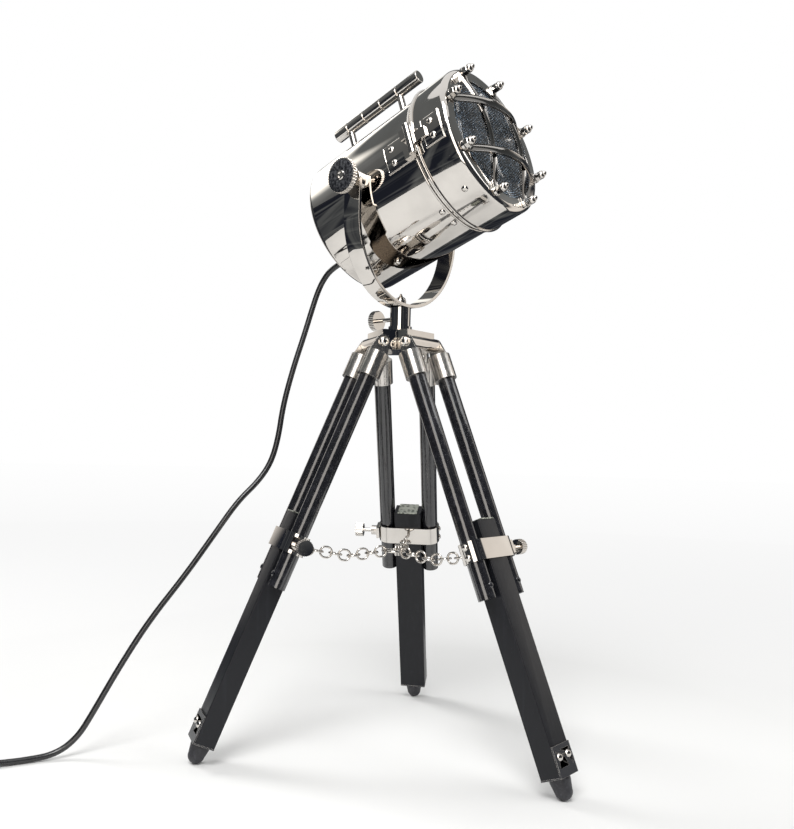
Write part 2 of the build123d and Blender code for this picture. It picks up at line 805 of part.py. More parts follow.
def make_drum_shell():
    """The rear housing: a round wall with its closed back, a bead near its mouth and a latch ear."""
    with BuildPart() as drum:
        turn_wall(drum_radius, 0, drum_wall, drum_corner, drum_front, drum_rear,
                  (drum_radius, drum_bead_place))
        with BuildSketch(side_of(head).offset(drum_radius - drum_wall / 2)):
            with Locations((0, drum_front - drum_ear_setback - latch_ear_thickness / 2)):
                Rectangle(2 * latch_half_width, latch_ear_thickness)
        extrude(amount=latch_reach - drum_radius + drum_wall / 2)
        for side in (0, 180):
            bore(at_wall(drum_radius, side, 0), boss_neck + turning_gap, drum_radius / 2)
        for place in post_places:
            bore(at_wall(drum_radius, 90, place), post_stud_radius + turning_gap, drum_radius / 2)
        for turn, place in drum_screw_places:
            bore(at_wall(drum_radius, turn, place), trim_screw_shank + turning_gap, drum_radius / 2)
        for turn in leaf_screw_turns:
            bore(at_wall(drum_radius, turn, drum_leaf_place + leaf_screw_inset),
                 trim_screw_shank + turning_gap, drum_radius / 2)
        bore(plane_in(head, (*gland_place, drum_rear + drum_wall), (0, 0, 1)),
             gland_neck_radius + turning_gap, drum_wall)
        bore(plane_in(head, (latch_out, 0, drum_front), (0, 0, 1)),
             latch_screw_radius + sliding_gap, drum_ear_setback + latch_ear_thickness)
    return drum.part


def make_pivot_bosses():
    """One flanged boss each side of the drum, bored for its tilt screw."""
    bosses = []
    for side in (0, 180):
        face = at_wall(fork_inner_radius - swing_gap, side, 0)
        reach = fork_inner_radius - swing_gap
        with BuildPart() as outer:
            with BuildSketch(face):
                Circle(boss_flange_radius)
            extrude(amount=drum_inner - reach)
            trim_to_wall(drum_radius + seat_gap)
        with BuildPart() as inner:
            with BuildSketch(at_wall(drum_inner - boss_nut_depth, side, 0)):
                Circle(boss_nut_radius)
            extrude(amount=boss_nut_depth)
            trim_to_wall(drum_inner - seat_gap, inside=True)
        with BuildPart() as boss:
            add(outer.part)
            add(inner.part)
            with BuildSketch(face):
                Circle(boss_neck)
            extrude(amount=drum_inner - boss_nut_depth - reach)
            bore(face, tilt_screw_radius + turning_gap, reach - drum_inner + boss_nut_depth)
        bosses.append(boss.part)
    return group(*bosses)


def make_drum_screws():
    """The small round heads on the drum, with the two that hold its hinge leaf."""
    with BuildPart() as screws:
        for turn, place in drum_screw_places:
            round_head_screw(at_wall(drum_radius, turn, place), trim_screw_head, trim_screw_height,
                             trim_screw_shank, trim_screw_length)
        for turn in leaf_screw_turns:
            round_head_screw(at_wall(drum_radius + seat_gap + leaf_thickness, turn,
                                     drum_leaf_place + leaf_screw_inset), trim_screw_head,
                             trim_screw_height, trim_screw_shank, trim_screw_length)
    return screws.part


# ---- Handle -------------------------------------------------------------------------------
def make_handle_bar():
    """The grooved grip rod above the drum, drilled underneath for its two posts."""
    frame = plane_in(head, (0, handle_rise, handle_rear), (0, 0, 1))
    half = groove_width / 2
    with BuildPart() as handle:
        with BuildSketch(frame):
            Circle(handle_radius)
        extrude(amount=handle_length)
        for share in handle_grooves:
            middle = handle_length * share
            inside = handle_radius - groove_depth
            turn_outline(frame, (inside, middle - half), (handle_radius + 1, middle - half),
                         (handle_radius + 1, middle + half), (inside, middle + half), mode=Mode.SUBTRACT)
        fillet(handle.edges().filter_by(GeomType.CIRCLE).sort_by(beam)[0], 1)
        fillet(handle.edges().filter_by(GeomType.CIRCLE).sort_by(beam)[-1], 1)
        for place in post_places:
            bore(at_wall(handle_rise, -90, place).offset(-2 * handle_rise + handle_radius),
                 post_stud_radius + turning_gap, handle_radius)
    return handle.part


def make_handle_posts():
    """Two posts between drum and grip, each with a foot outside the drum and a nut inside it."""
    posts = []
    for place in post_places:
        foot = at_wall(drum_radius, 90, place)
        grip = handle_rise - drum_radius
        stud_end = grip - post_stud_inset
        nut = drum_wall + post_nut_gap
        nut_end = nut + post_nut_height
        with BuildPart() as post:
            turn_outline(foot, (0, -nut), (post_foot_radius, -nut), (post_foot_radius, post_foot_height),
                         (post_radius, post_foot_height + 1), (post_radius, grip), (0, grip))
            trim_to_wall(drum_radius + seat_gap)
            turn_outline(plane_in(head, (0, handle_rise, handle_rear), (0, 0, 1)), (0, 0),
                         (handle_radius + seat_gap, 0), (handle_radius + seat_gap, handle_length),
                         (0, handle_length), mode=Mode.SUBTRACT)
            turn_outline(foot, (0, -nut_end), (post_stud_radius, -nut_end),
                         (post_stud_radius, stud_end), (0, stud_end))
            turn_outline(foot, (0, -nut_end), (post_foot_radius, -nut_end), (post_foot_radius, -nut),
                         (0, -nut))
        posts.append(post.part)
    return group(*posts)


# ---- Light --------------------------------------------------------------------------------
def make_lampholder():
    """The lampholder on the drum's back, with the cup for the bulb's neck."""
    back = drum_rear + drum_wall
    front = back + holder_length
    cup = bulb_neck_radius + sliding_gap
    neck_end = bulb_centre - bulb_radius * 0.75 - bulb_neck_length
    with BuildPart() as holder:
        turn_outline(head, (0, back), (holder_flange_radius, back),
                     (holder_flange_radius, back + holder_flange_height),
                     (holder_radius, back + holder_flange_height), (holder_radius, front),
                     (cup, front), (cup, neck_end), (0, neck_end))
    return holder.part


def make_bulb():
    """The globe bulb with its neck in the lampholder."""
    shoulder = bulb_radius * 0.75
    throat = math.sqrt(bulb_radius**2 - shoulder**2)
    start = -math.degrees(math.atan2(shoulder, throat))
    neck_end = bulb_centre - shoulder - bulb_neck_length
    with BuildPart() as bulb:
        with BuildSketch(section_of(head)):
            with BuildLine():
                CenterArc((0, bulb_centre), bulb_radius, start, 90 - start)
                Polyline((throat, bulb_centre - shoulder), (bulb_neck_radius, bulb_centre - shoulder - 6),
                         (bulb_neck_radius, neck_end), (0, neck_end), (0, bulb_centre + bulb_radius))
            make_face()
        revolve(axis=beam)
    return bulb.part


def make_reflector():
    """The parabolic bowl round the bulb, with the skirt that its screws hold to the drum."""
    depth = reflector_front - reflector_rear
    middle = (reflector_hole_radius + reflector_rim_radius) / 2
    grow = depth / (reflector_rim_radius**2 - reflector_hole_radius**2)
    halfway = reflector_rear + grow * (middle**2 - reflector_hole_radius**2)
    skirt = drum_inner - seat_gap
    with BuildPart() as bowl:
        with BuildSketch(section_of(head)):
            with BuildLine():
                ThreePointArc((reflector_hole_radius, reflector_rear), (middle, halfway),
                              (reflector_rim_radius, reflector_front))
                Polyline((reflector_rim_radius, reflector_front), (skirt, reflector_front),
                         (skirt, reflector_front - reflector_skirt),
                         (skirt - reflector_wall, reflector_front - reflector_skirt),
                         (skirt - reflector_wall, reflector_front - reflector_wall),
                         (reflector_rim_radius, reflector_front - reflector_wall))
                ThreePointArc((reflector_rim_radius, reflector_front - reflector_wall),
                              (middle, halfway - reflector_wall),
                              (reflector_hole_radius, reflector_rear - reflector_wall))
                Line((reflector_hole_radius, reflector_rear - reflector_wall),
                     (reflector_hole_radius, reflector_rear))
            make_face()
        revolve(axis=beam)
        for turn, place in reflector_screws:
            bore(at_wall(drum_radius, turn, place), trim_screw_shank + turning_gap, 2 * trim_screw_length)
    return bowl.part


# ---- Door ---------------------------------------------------------------------------------
def stud_planes(place):
    """A plane at each stud, at a place along the beam."""
    half = 180 / stud_count
    for count in range(stud_count):
        turn = math.radians(half + count * 2 * half)
        yield plane_in(head, (stud_circle * math.cos(turn), stud_circle * math.sin(turn), place), (0, 0, 1),
                       (math.cos(turn), math.sin(turn), 0))


def make_door_ring():
    """The front ring: a bead at its near edge, a lip turned in round the lens, a latch ear."""
    with BuildPart() as ring:
        turn_wall(ring_radius, ring_lip_radius, ring_wall, ring_corner, ring_near + ring_wall, ring_far,
                  (ring_radius + bead_offset, ring_near + ring_wall))
        with BuildSketch(side_of(head).offset(ring_radius - ring_wall / 2)):
            with Locations((0, door_ear_front - latch_ear_thickness / 2)):
                Rectangle(2 * latch_half_width, latch_ear_thickness)
        extrude(amount=latch_reach - ring_radius + ring_wall / 2)
        for plane in stud_planes(ring_far):
            bore(plane, stud_radius + turning_gap, ring_wall + seal_thickness)
        for turn, place in door_screw_places:
            bore(at_wall(ring_radius, turn, place), trim_screw_shank + turning_gap, ring_radius / 2)
        for turn in leaf_screw_turns:
            bore(at_wall(ring_radius, turn, door_leaf_place + door_leaf_length - leaf_screw_inset),
                 trim_screw_shank + turning_gap, ring_radius / 2)
        bore(plane_in(head, (latch_out, 0, door_ear_front), (0, 0, 1)),
             latch_screw_radius + turning_gap, latch_ear_thickness)
    return ring.part


def make_lens():
    """The round glass behind the ring's lip, slightly crowned."""
    rear = lens_front - lens_thickness
    with BuildPart() as lens:
        turn_domed(head, (0, lens_front + lens_crown), (0, rear), (lens_radius, rear),
                   (lens_radius, lens_front), (ring_lip_radius, lens_front))
    return lens.part


def make_lens_seal():
    """The flat rubber ring between glass and lip."""
    with BuildPart() as seal:
        with BuildSketch(head.offset(lens_front)):
            Circle(lens_radius)
            Circle(ring_lip_radius + sliding_gap, mode=Mode.SUBTRACT)
        extrude(amount=seal_thickness)
    return seal.part


def make_guard_strips():
    """Two upright strips and two crosswise ones that bow further out and pass over them."""
    strips = []
    end = stud_circle * math.cos(math.pi / stud_count)
    flat = end - guard_tab
    half = guard_width / 2
    for run, beside in (("upright", (0, 1, 0)), ("crosswise", (1, 0, 0))):
        bow = guard_rises[run]
        for side in (1, -1):
            aside = side * guard_offset
            place = (aside, 0, ring_far) if run == "upright" else (0, aside, ring_far)
            frame = plane_in(head, place, (0, 0, 1), beside)
            with BuildPart() as strip:
                with BuildSketch(section_of(frame)):
                    with BuildLine():
                        for lift in (0, guard_thickness):
                            Line((-end - half, lift), (-flat, lift))
                            ThreePointArc((-flat, lift), (0, lift + bow), (flat, lift))
                            Line((flat, lift), (end + half, lift))
                        Line((-end - half, 0), (-end - half, guard_thickness))
                        Line((end + half, 0), (end + half, guard_thickness))
                    make_face()
                extrude(amount=half, both=True)
                corners = strip.edges().filter_by(Axis(frame.origin, frame.z_dir))
                fillet(corners, half - 0.1)
                for tip in (end, -end):
                    bore(plane_in(frame, (tip, 0, guard_thickness), (0, 0, 1)), stud_radius + turning_gap,
                         guard_thickness)
            strips.append(strip.part)
    return group(*strips)


def make_guard_studs():
    """Eight studs through strips and lip: a nut behind the glass, a hexagon and a spiked dome."""
    seat = ring_far + guard_thickness
    behind = seat - (lens_front - lens_thickness)
    hexagon = stud_washer_height + stud_hex_height
    top = hexagon + stud_spike_height
    dome = stud_hex / 2
    with BuildPart() as studs:
        for plane in stud_planes(seat):
            turn_outline(plane, (0, -behind - stud_retainer_height),
                         (stud_retainer_radius, -behind - stud_retainer_height),
                         (stud_retainer_radius, -behind), (stud_radius, -behind), (stud_radius, 0),
                         (stud_washer_radius, 0), (stud_washer_radius, stud_washer_height),
                         (0, stud_washer_height))
            with BuildSketch(plane.offset(stud_washer_height)):
                RegularPolygon(dome, 6, major_radius=False)
            extrude(amount=stud_hex_height)
            turn_outline(plane, (0, hexagon), (dome * 0.94, hexagon), (dome * 0.8, hexagon + dome * 0.45),
                         (dome * 0.45, hexagon + dome * 0.75), (dome * 0.4, hexagon + dome * 0.95),
                         (dome * 0.1, top), (0, top))
    return studs.part


def make_door_screws():
    """The small round heads on the ring, with the two that hold its hinge leaf."""
    with BuildPart() as screws:
        for turn, place in door_screw_places:
            round_head_screw(at_wall(ring_radius, turn, place), trim_screw_head, trim_screw_height,
                             trim_screw_shank, trim_screw_length)
        for turn in leaf_screw_turns:
            round_head_screw(at_wall(ring_radius + seat_gap + leaf_thickness, turn,
                                     door_leaf_place + door_leaf_length - leaf_screw_inset), trim_screw_head,
                             trim_screw_height, trim_screw_shank, trim_screw_length)
    return screws.part


# ---- Door hinge and latch -----------------------------------------------------------------
door_axis = plane_in(head, (-door_axis_out, 0, drum_front), (0, 1, 0), (1, 0, 0))


def make_leaf(radius, place, length, knuckles, arm, bead):
    """A curved leaf on a round wall, with arms that carry its knuckles on the hinge pin.

    The arm spans two places along the beam, and the bead that it clears is (radius, from, to).
    """
    outer = radius + seat_gap + leaf_thickness
    inset = leaf_screw_inset if place < drum_front else length - leaf_screw_inset
    with BuildPart() as leaf:
        with BuildSketch(head.offset(place)):
            Circle(outer)
            Circle(radius + seat_gap, mode=Mode.SUBTRACT)
            with Locations((-radius, 0)):
                Rectangle(radius, 2 * hinge_half_height, mode=Mode.INTERSECT)
        extrude(amount=length)
        for low, high in knuckles:
            with BuildSketch(door_axis.offset(low)):
                Circle(knuckle_radius)
            extrude(amount=high - low)
            with BuildSketch(side_of(head).offset(-door_axis_out + hinge_pin_radius)):
                with Locations(((low + high) / 2, sum(arm) / 2)):
                    Rectangle(high - low, arm[1] - arm[0])
            extrude(amount=door_axis_out - radius)
        trim_to_wall(radius + seat_gap)
        with BuildSketch(head.offset(bead[1])):
            Circle(bead[0])
        extrude(amount=bead[2] - bead[1], mode=Mode.SUBTRACT)
        bore(door_axis.offset(hinge_half_height), hinge_pin_radius + turning_gap, 2 * hinge_half_height)
        for turn in leaf_screw_turns:
            bore(at_wall(outer, turn, place + inset), trim_screw_shank + turning_gap, 2 * leaf_thickness)
    return leaf.part


def make_hinge_leaf_drum():
    """The drum's leaf, with the two outer knuckles."""
    inner = knuckle_half + swing_gap
    knuckles = [(-hinge_half_height, -inner), (inner, hinge_half_height)]
    arm = (drum_leaf_place + drum_leaf_length - leaf_overlap, drum_front)
    bead = (drum_radius + drum_wall + turning_gap, drum_leaf_place + drum_leaf_length, drum_front)
    return make_leaf(drum_radius, drum_leaf_place, drum_leaf_length, knuckles, arm, bead)


def make_hinge_leaf_door():
    """The door's leaf, with the middle knuckle."""
    arm = (drum_front, door_leaf_place + leaf_overlap)
    bead = (ring_radius + bead_offset + ring_wall + turning_gap, drum_front - knuckle_radius,
            ring_near + 2 * ring_wall + turning_gap)
    knuckles = [(-knuckle_half, knuckle_half)]
    return make_leaf(ring_radius, door_leaf_place, door_leaf_length, knuckles, arm, bead)


def make_hinge_pin():
    """The pin through the knuckles, with a small head at its top."""
    neck = hinge_half_height + swing_gap
    top = neck + hinge_pin_head
    end = -hinge_half_height - hinge_pin_end
    head_radius = hinge_pin_radius + hinge_pin_head - swing_gap
    with BuildPart() as pin:
        turn_outline(door_axis, (0, end), (hinge_pin_radius, end), (hinge_pin_radius, neck),
                     (head_radius, neck), (head_radius, top), (0, top))
    return pin.part


def make_latch_screw():
    """The captive thumb screw that holds the door's free side to the drum's ear."""
    seat = door_ear_front + swing_gap
    place = plane_in(head, (latch_out, 0, seat), (0, 0, 1))
    reach = seat - (drum_front - drum_ear_setback - latch_ear_thickness + latch_tip_inset)
    shoulder = latch_knob_radius * 0.8
    with BuildPart() as screw:
        turn_outline(place, (0, -reach), (latch_screw_radius, -reach), (latch_screw_radius, 0),
                     (shoulder, 0), (shoulder, latch_knob_shoulder), (0, latch_knob_shoulder))
        knurled_knob(place.offset(latch_knob_shoulder), latch_knob_radius, latch_knob_height,
                     latch_knob_ridges, latch_knob_groove)
    return screw.part


# ---- Cord ---------------------------------------------------------------------------------
boot_end = drum_rear - gland_flange_height - gland_boot_length
cord_exit = head.from_local_coords(Vector(*gland_place, boot_end))
route = [cord_exit, cord_exit - head.z_dir * cord_straight_exit] + [Vector(*point) for point in cord_route]
tail = [Vector(*point) for point in tail_route]
floor_runs = list(zip(route[2:], route[3:]))
switch_start, switch_end = max(floor_runs, key=lambda run: (run[1] - run[0]).length)
switch_along = switch_end - switch_start
switch_frame = Plane(origin=(switch_start + switch_end) * 0.5, x_dir=switch_along, z_dir=(0, 0, 1))


def make_cord_gland():
    """The gland in the drum's back: nut inside, flange outside and a tapered rubber boot."""
    back = plane_in(head, (*gland_place, drum_rear), (0, 0, -1))
    inside = drum_wall + gland_nut_height
    cord_end = gland_flange_height + gland_boot_length
    with BuildPart() as gland:
        turn_outline(back, (0, -inside), (gland_nut_radius, -inside), (gland_nut_radius, -drum_wall),
                     (gland_neck_radius, -drum_wall), (gland_neck_radius, 0), (gland_flange_radius, 0),
                     (gland_flange_radius, gland_flange_height), (gland_boot_radius, gland_flange_height),
                     (cord_diameter / 2 + boot_wall, cord_end), (0, cord_end))
    return gland.part


def make_tube(points, name):
    """A round cord along straight runs joined by arcs as large as the runs allow."""
    runs = [second - first for first, second in zip(points, points[1:])]
    radii = [0.45 * min(before.length, after.length) / math.tan(math.radians(before.get_angle(after)) / 2)
             for before, after in zip(runs, runs[1:])]
    print(name, "runs", [round(run.length) for run in runs])
    print(name, "radii", [round(radius) for radius in radii])
    with BuildPart() as tube:
        with BuildLine() as path:
            FilletPolyline(*points, radius=radii)
        with BuildSketch(Plane(origin=path.line @ 0, z_dir=path.line % 0)):
            Circle(cord_diameter / 2)
        sweep()
    length = path.wires()[0].length
    section = math.pi * cord_diameter**2 / 4
    print(name, "length", round(length), "volume over section times length",
          round(tube.part.volume / section / length, 4))
    return tube.part


def make_cord_coil():
    """The outer shape of the put-away turns."""
    half = coil_columns * cord_diameter / 2
    tall = coil_layers * cord_diameter
    frame = Plane(origin=(*coil_centre, 0))
    with BuildPart() as coil:
        with BuildSketch(section_of(frame)):
            with Locations((coil_mean_radius, tall / 2)):
                RectangleRounded(2 * half, tall, cord_diameter * 0.45)
        revolve(axis=Axis(frame.origin, frame.z_dir))
    return coil.part


def make_cord_switch():
    """The body of the switch on the cord, with the cord's bore through it and the rocker's well."""
    floor = -switch_frame.origin.Z
    with BuildPart() as body:
        with BuildSketch(switch_frame.offset(floor)):
            RectangleRounded(switch_length, switch_width, switch_width * 0.45)
        extrude(amount=switch_height)
        fillet(body.faces().sort_by(Axis.Z)[-1].edges(), switch_corner)
        with BuildSketch(switch_frame.offset(floor + switch_height)):
            Rectangle(rocker_length + 2 * sliding_gap, rocker_width + 2 * sliding_gap)
        extrude(amount=-rocker_height / 2 - rocker_clearance, mode=Mode.SUBTRACT)
        bore(plane_in(switch_frame, (switch_length / 2, 0, 0), (1, 0, 0)),
             cord_diameter / 2 + 2 * turning_gap, switch_length)
    return body.part


rocker_axis = plane_in(switch_frame, (0, 0, switch_height - switch_frame.origin.Z), (0, 1, 0), (1, 0, 0))


def make_switch_rocker():
    """The rocker, drawn in its off position about its axis across the cord."""
    throw = math.radians(rocker_throw)
    tipped = plane_in(rocker_axis, (0, 0, 0), (0, 0, 1), (math.cos(throw), math.sin(throw), 0))
    long = rocker_length / 2 - rocker_clearance
    tall = rocker_height / 2
    with BuildPart() as rocker:
        with BuildSketch(tipped):
            with BuildLine():
                Polyline((-long, -tall / 2), (-long, tall / 2), (0, tall / 4), (long, tall / 2),
                         (long, -tall / 2), (0, -tall / 1.6), close=True)
            make_face()
        extrude(amount=rocker_width / 2, both=True)
    return rocker.part


def plug_frame():
    """Local x runs from the cord's end through the plug."""
    along = (tail[-1] - tail[-2]).normalized()
    flat = Vector(along.X, along.Y, 0).normalized()
    return Plane(origin=(tail[-1].X, tail[-1].Y, plug_height / 2), x_dir=flat, z_dir=(0, 0, 1))


def make_plug():
    """A flat two-pin plug with its tapered strain relief, lying beside the coil."""
    frame = plug_frame()
    body_start = plug_relief_length
    body_end = body_start + plug_length
    with BuildPart() as plug:
        turn_outline(plane_in(frame, (0, 0, 0), (1, 0, 0)), (0, 0), (cord_diameter / 2 + boot_wall, 0),
                     (plug_neck_half_width, body_start + plug_rim), (0, body_start + plug_rim))
        with BuildSketch(frame.offset(-plug_height / 2)):
            with BuildLine():
                Polyline((body_start, -plug_neck_half_width), (body_start, plug_neck_half_width),
                         (body_start + plug_neck_length, plug_width / 2), (body_end, plug_width / 2),
                         (body_end, -plug_width / 2), (body_start + plug_neck_length, -plug_width / 2),
                         close=True)
            make_face()
            fillet(vertices(), plug_corner)
        extrude(amount=plug_height)
        fillet(plug.faces().sort_by(Axis.Z)[-1].edges(), plug_rim)
        for side in (1, -1):
            pin = plane_in(frame, (body_end, side * plug_pin_spacing / 2, 0), (1, 0, 0))
            turn_domed(pin, (0, plug_pin_length), (0, -plug_rim), (plug_pin_radius, -plug_rim),
                       (plug_pin_radius, plug_pin_length - plug_pin_nose))
    return plug.part


# ---- Build and write ----------------------------------------------------------------------
save(make_hub(), "hub")
save(make_hinge_bolts(), "hinge_bolts")
save(make_stem_sleeve(), "stem_sleeve")
save(make_pan_screw(), "pan_screw")
save(make_chain_ring(), "chain_ring")
for leg_name, heading in leg_headings.items():
    leg = leg_frame(heading)
    save(make_ferrules(leg), f"{leg_name}_ferrules")
    save(make_dowels(leg), f"{leg_name}_dowels")
    save(make_bar(leg), f"{leg_name}_bar")
    save(make_bar_fittings(leg), f"{leg_name}_bar_fittings")
    save(make_foot(leg), f"{leg_name}_foot")
    save(make_clamp(leg), f"{leg_name}_clamp")
    save(make_clamp_screw(leg), f"{leg_name}_clamp_screw")
    near, middle, far = chain_points(heading)
    save(make_chain_half(near, middle, 0), f"{leg_name}_chain_inner")
    save(make_chain_half(middle, far, links_per_half), f"{leg_name}_chain_outer")
save(make_fork(), "fork")
save(make_stem_bolt(), "stem_bolt")
save(make_tilt_knob(left_knob), "tilt_knob_left")
save(make_tilt_knob(right_knob), "tilt_knob_right")
save(make_drum_shell(), "drum_shell")
save(make_pivot_bosses(), "pivot_bosses")
save(make_drum_screws(), "drum_screws")
save(make_handle_bar(), "handle_bar")
save(make_handle_posts(), "handle_posts")
save(make_lampholder(), "lampholder")
save(make_bulb(), "bulb")
save(make_reflector(), "reflector")
save(make_door_ring(), "door_ring")
save(make_lens(), "lens")
save(make_lens_seal(), "lens_seal")
save(make_guard_strips(), "guard_strips")
save(make_guard_studs(), "guard_studs")
save(make_door_screws(), "door_screws")
save(make_hinge_leaf_drum(), "hinge_leaf_drum")
save(make_hinge_leaf_door(), "hinge_leaf_door")
save(make_hinge_pin(), "hinge_pin")
save(make_latch_screw(), "latch_screw")
save(make_cord_gland(), "cord_gland")
save(group(make_tube(route, "cord"), make_tube(tail, "tail")), "cord")
save(make_cord_coil(), "cord_coil")
save(make_cord_switch(), "cord_switch")
save(make_switch_rocker(), "switch_rocker")
save(make_plug(), "plug")
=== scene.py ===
"""Tabletop searchlight lamp: finishes, fine details, cord and stage round its solid frame."""

import json
import math

import bpy
from mathutils import Matrix, Vector


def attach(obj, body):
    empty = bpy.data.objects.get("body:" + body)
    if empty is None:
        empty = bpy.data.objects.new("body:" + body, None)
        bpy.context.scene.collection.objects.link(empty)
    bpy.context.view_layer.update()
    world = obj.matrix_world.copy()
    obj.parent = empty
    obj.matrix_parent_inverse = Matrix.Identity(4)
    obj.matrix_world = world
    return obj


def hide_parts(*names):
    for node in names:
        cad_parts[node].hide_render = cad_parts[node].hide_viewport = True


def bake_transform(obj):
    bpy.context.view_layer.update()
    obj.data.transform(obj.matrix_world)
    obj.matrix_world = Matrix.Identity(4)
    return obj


bl_info = {
    "name": "Searchlight Lamp",
    "version": (1, 0, 0),
    "blender": (4, 5, 0),
    "location": "View3D > Sidebar > Lamp",
    "description": "Dresses a tabletop searchlight lamp with finishes, details, cord and stage",
    "category": "Add Mesh",
}

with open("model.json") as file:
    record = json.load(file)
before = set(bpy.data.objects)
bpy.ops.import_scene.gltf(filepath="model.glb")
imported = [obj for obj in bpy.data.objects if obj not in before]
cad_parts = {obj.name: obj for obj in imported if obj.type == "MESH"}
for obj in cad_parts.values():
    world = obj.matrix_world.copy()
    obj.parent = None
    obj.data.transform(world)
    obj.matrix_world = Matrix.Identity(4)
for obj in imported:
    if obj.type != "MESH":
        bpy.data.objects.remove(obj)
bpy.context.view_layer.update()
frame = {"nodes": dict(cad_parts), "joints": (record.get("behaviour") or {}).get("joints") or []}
JOINTS = {joint["name"]: joint for joint in frame["joints"]}
LEGS = ("front", "right", "left")
MERGE = 2e-5  # metres within which doubled points of a copied solid are one
FLAT_ANGLE = math.radians(0.5)  # bend up to which neighbouring faces are one flat face
SMOOTH_ANGLE = math.radians(32)
SOCKET_FACTOR, SOCKET_FIRST, SOCKET_SECOND, SOCKET_RESULT = 0, 6, 7, 2  # of a Mix node's colours

# All lengths are in metres. The cord's route runs from the gland's boot down to the floor and on to
# the coil, and the tail's from the coil to the plug.
CORD_ROUTE = [
    (-0.0044, 0.096, 0.4541), (-0.0061, 0.1027, 0.4413), (-0.0115, 0.1053, 0.4222),
    (-0.0195, 0.1075, 0.396), (-0.031, 0.1105, 0.362), (-0.041, 0.1132, 0.325),
    (-0.045, 0.1148, 0.293), (-0.052, 0.117, 0.268), (-0.0655, 0.1215, 0.2485),
    (-0.084, 0.129, 0.23), (-0.106, 0.137, 0.198), (-0.133, 0.147, 0.159),
    (-0.164, 0.1585, 0.119), (-0.19, 0.168, 0.077), (-0.211, 0.1756, 0.039),
    (-0.224, 0.1805, 0.017), (-0.2415, 0.187, 0.0045), (-0.265, 0.1954, 0.0028),
    (-0.292, 0.2052, 0.0036), (-0.32, 0.2154, 0.0065), (-0.3764, 0.236, 0.0065),
    (-0.4045, 0.2463, 0.0046), (-0.4174, 0.2616, 0.0028), (-0.4208, 0.2809, 0.0028),
]
TAIL_ROUTE = [
    (-0.398, 0.309, 0.0084), (-0.382, 0.3115, 0.0082), (-0.367, 0.313, 0.007),
    (-0.352, 0.3143, 0.007),
]
GLAND_END = (-0.004, -0.025, -0.0856)  # in the head's own frame
GLAND_RUN = 0.014  # straight run of the cord out of the gland
SPLIT_HEIGHT = 0.33  # where the cord's upper and lower pieces meet
COIL_CENTRE = Vector((-0.383, 0.2775, 0))
COIL_STEPS = 16  # points in one turn
COIL_SPACING = 1.01  # from turn to turn, in cord diameters
COIL_LOW_SHARE = 0.504  # share of the turns that lies on the floor
COIL_CLIMB = 0.5  # turns in which the cord climbs on top of the lower ones
TIE_TURN = math.radians(200)
TIE_WIDTH = 0.009
TIE_THICKNESS = 0.0008
TIE_EASE = 0.0002
SWITCH_EASE = 0.0003

# A hinge leaf's border: its body, the radius that it wraps, its start along the beam, its length.
LEAF_BORDERS = {
    "drum_leaf_border": ("head", 0.0665, 0.033, 0.028),
    "door_leaf_border": ("door", 0.0685, 0.0758, 0.0192),
}
LEAF_HALF_WIDTH = 0.0128
LEAF_END_GAP = 0.0002  # from a leaf's end to its border
LEAF_BORDER_WIDTH = 0.0014
LEAF_BORDER_HEIGHT = 0.0005
LEAF_BORDER_SINK = 0.00015
LEAF_BORDER_EASE = 0.00018
STRIP_BORDER_WIDTH = 0.0014
STRIP_SINK = 0.0007
STRIP_FACE_AREA = 2e-6  # square metres above which a facet belongs to a strip's broad face
STRIP_FACE_LEAN = 0.6  # least cosine between that facet's direction and the beam
STUD_COUNT = 8
STUD_CIRCLE = 0.061  # radius on which they stand
STUD_PLACE = 0.105  # along the beam
KNOB_FACE_PLACE = 0.0879  # from the head's middle to a tilt knob's outer face

# Turned profiles, each a list of (radius, height) from the bottom up.
STUD_WASHER = [(0.0042, -0.0015), (0.0042, 0.0005), (0.0038, 0.0009)]
STUD_NUT = [(0.0036, 0.0008), (0.0041, 0.0011), (0.0041, 0.0044), (0.0035, 0.0050)]
STUD_DOME = [
    (0.0034, 0.0048), (0.0037, 0.0056), (0.0037, 0.0067), (0.0032, 0.0079), (0.0023, 0.0087),
    (0.0018, 0.0090), (0.0022, 0.0094), (0.0021, 0.0099), (0.0014, 0.0106), (0.0007, 0.0112),
    (0, 0.0115),
]
KNOB_FACE = [
    (0.0137, -0.001), (0.0137, 0.0002), (0.0130, 0.0005), (0.0060, 0.0003), (0.0045, 0.0001),
]
KNOB_RING = [
    (0.0042, -0.0005), (0.0042, 0.0007), (0.0037, 0.0013), (0.0025, 0.0013), (0.0018, 0.0004),
    (0.0006, 0.0004),
]

# The pressed glass: waves in radians per metre, and the radii between which rings replace rows.
PEBBLE_WAVES = (1900, 2700)
RING_WAVE = 2900
RINGS_FROM, RINGS_FULL = 0.040, 0.046

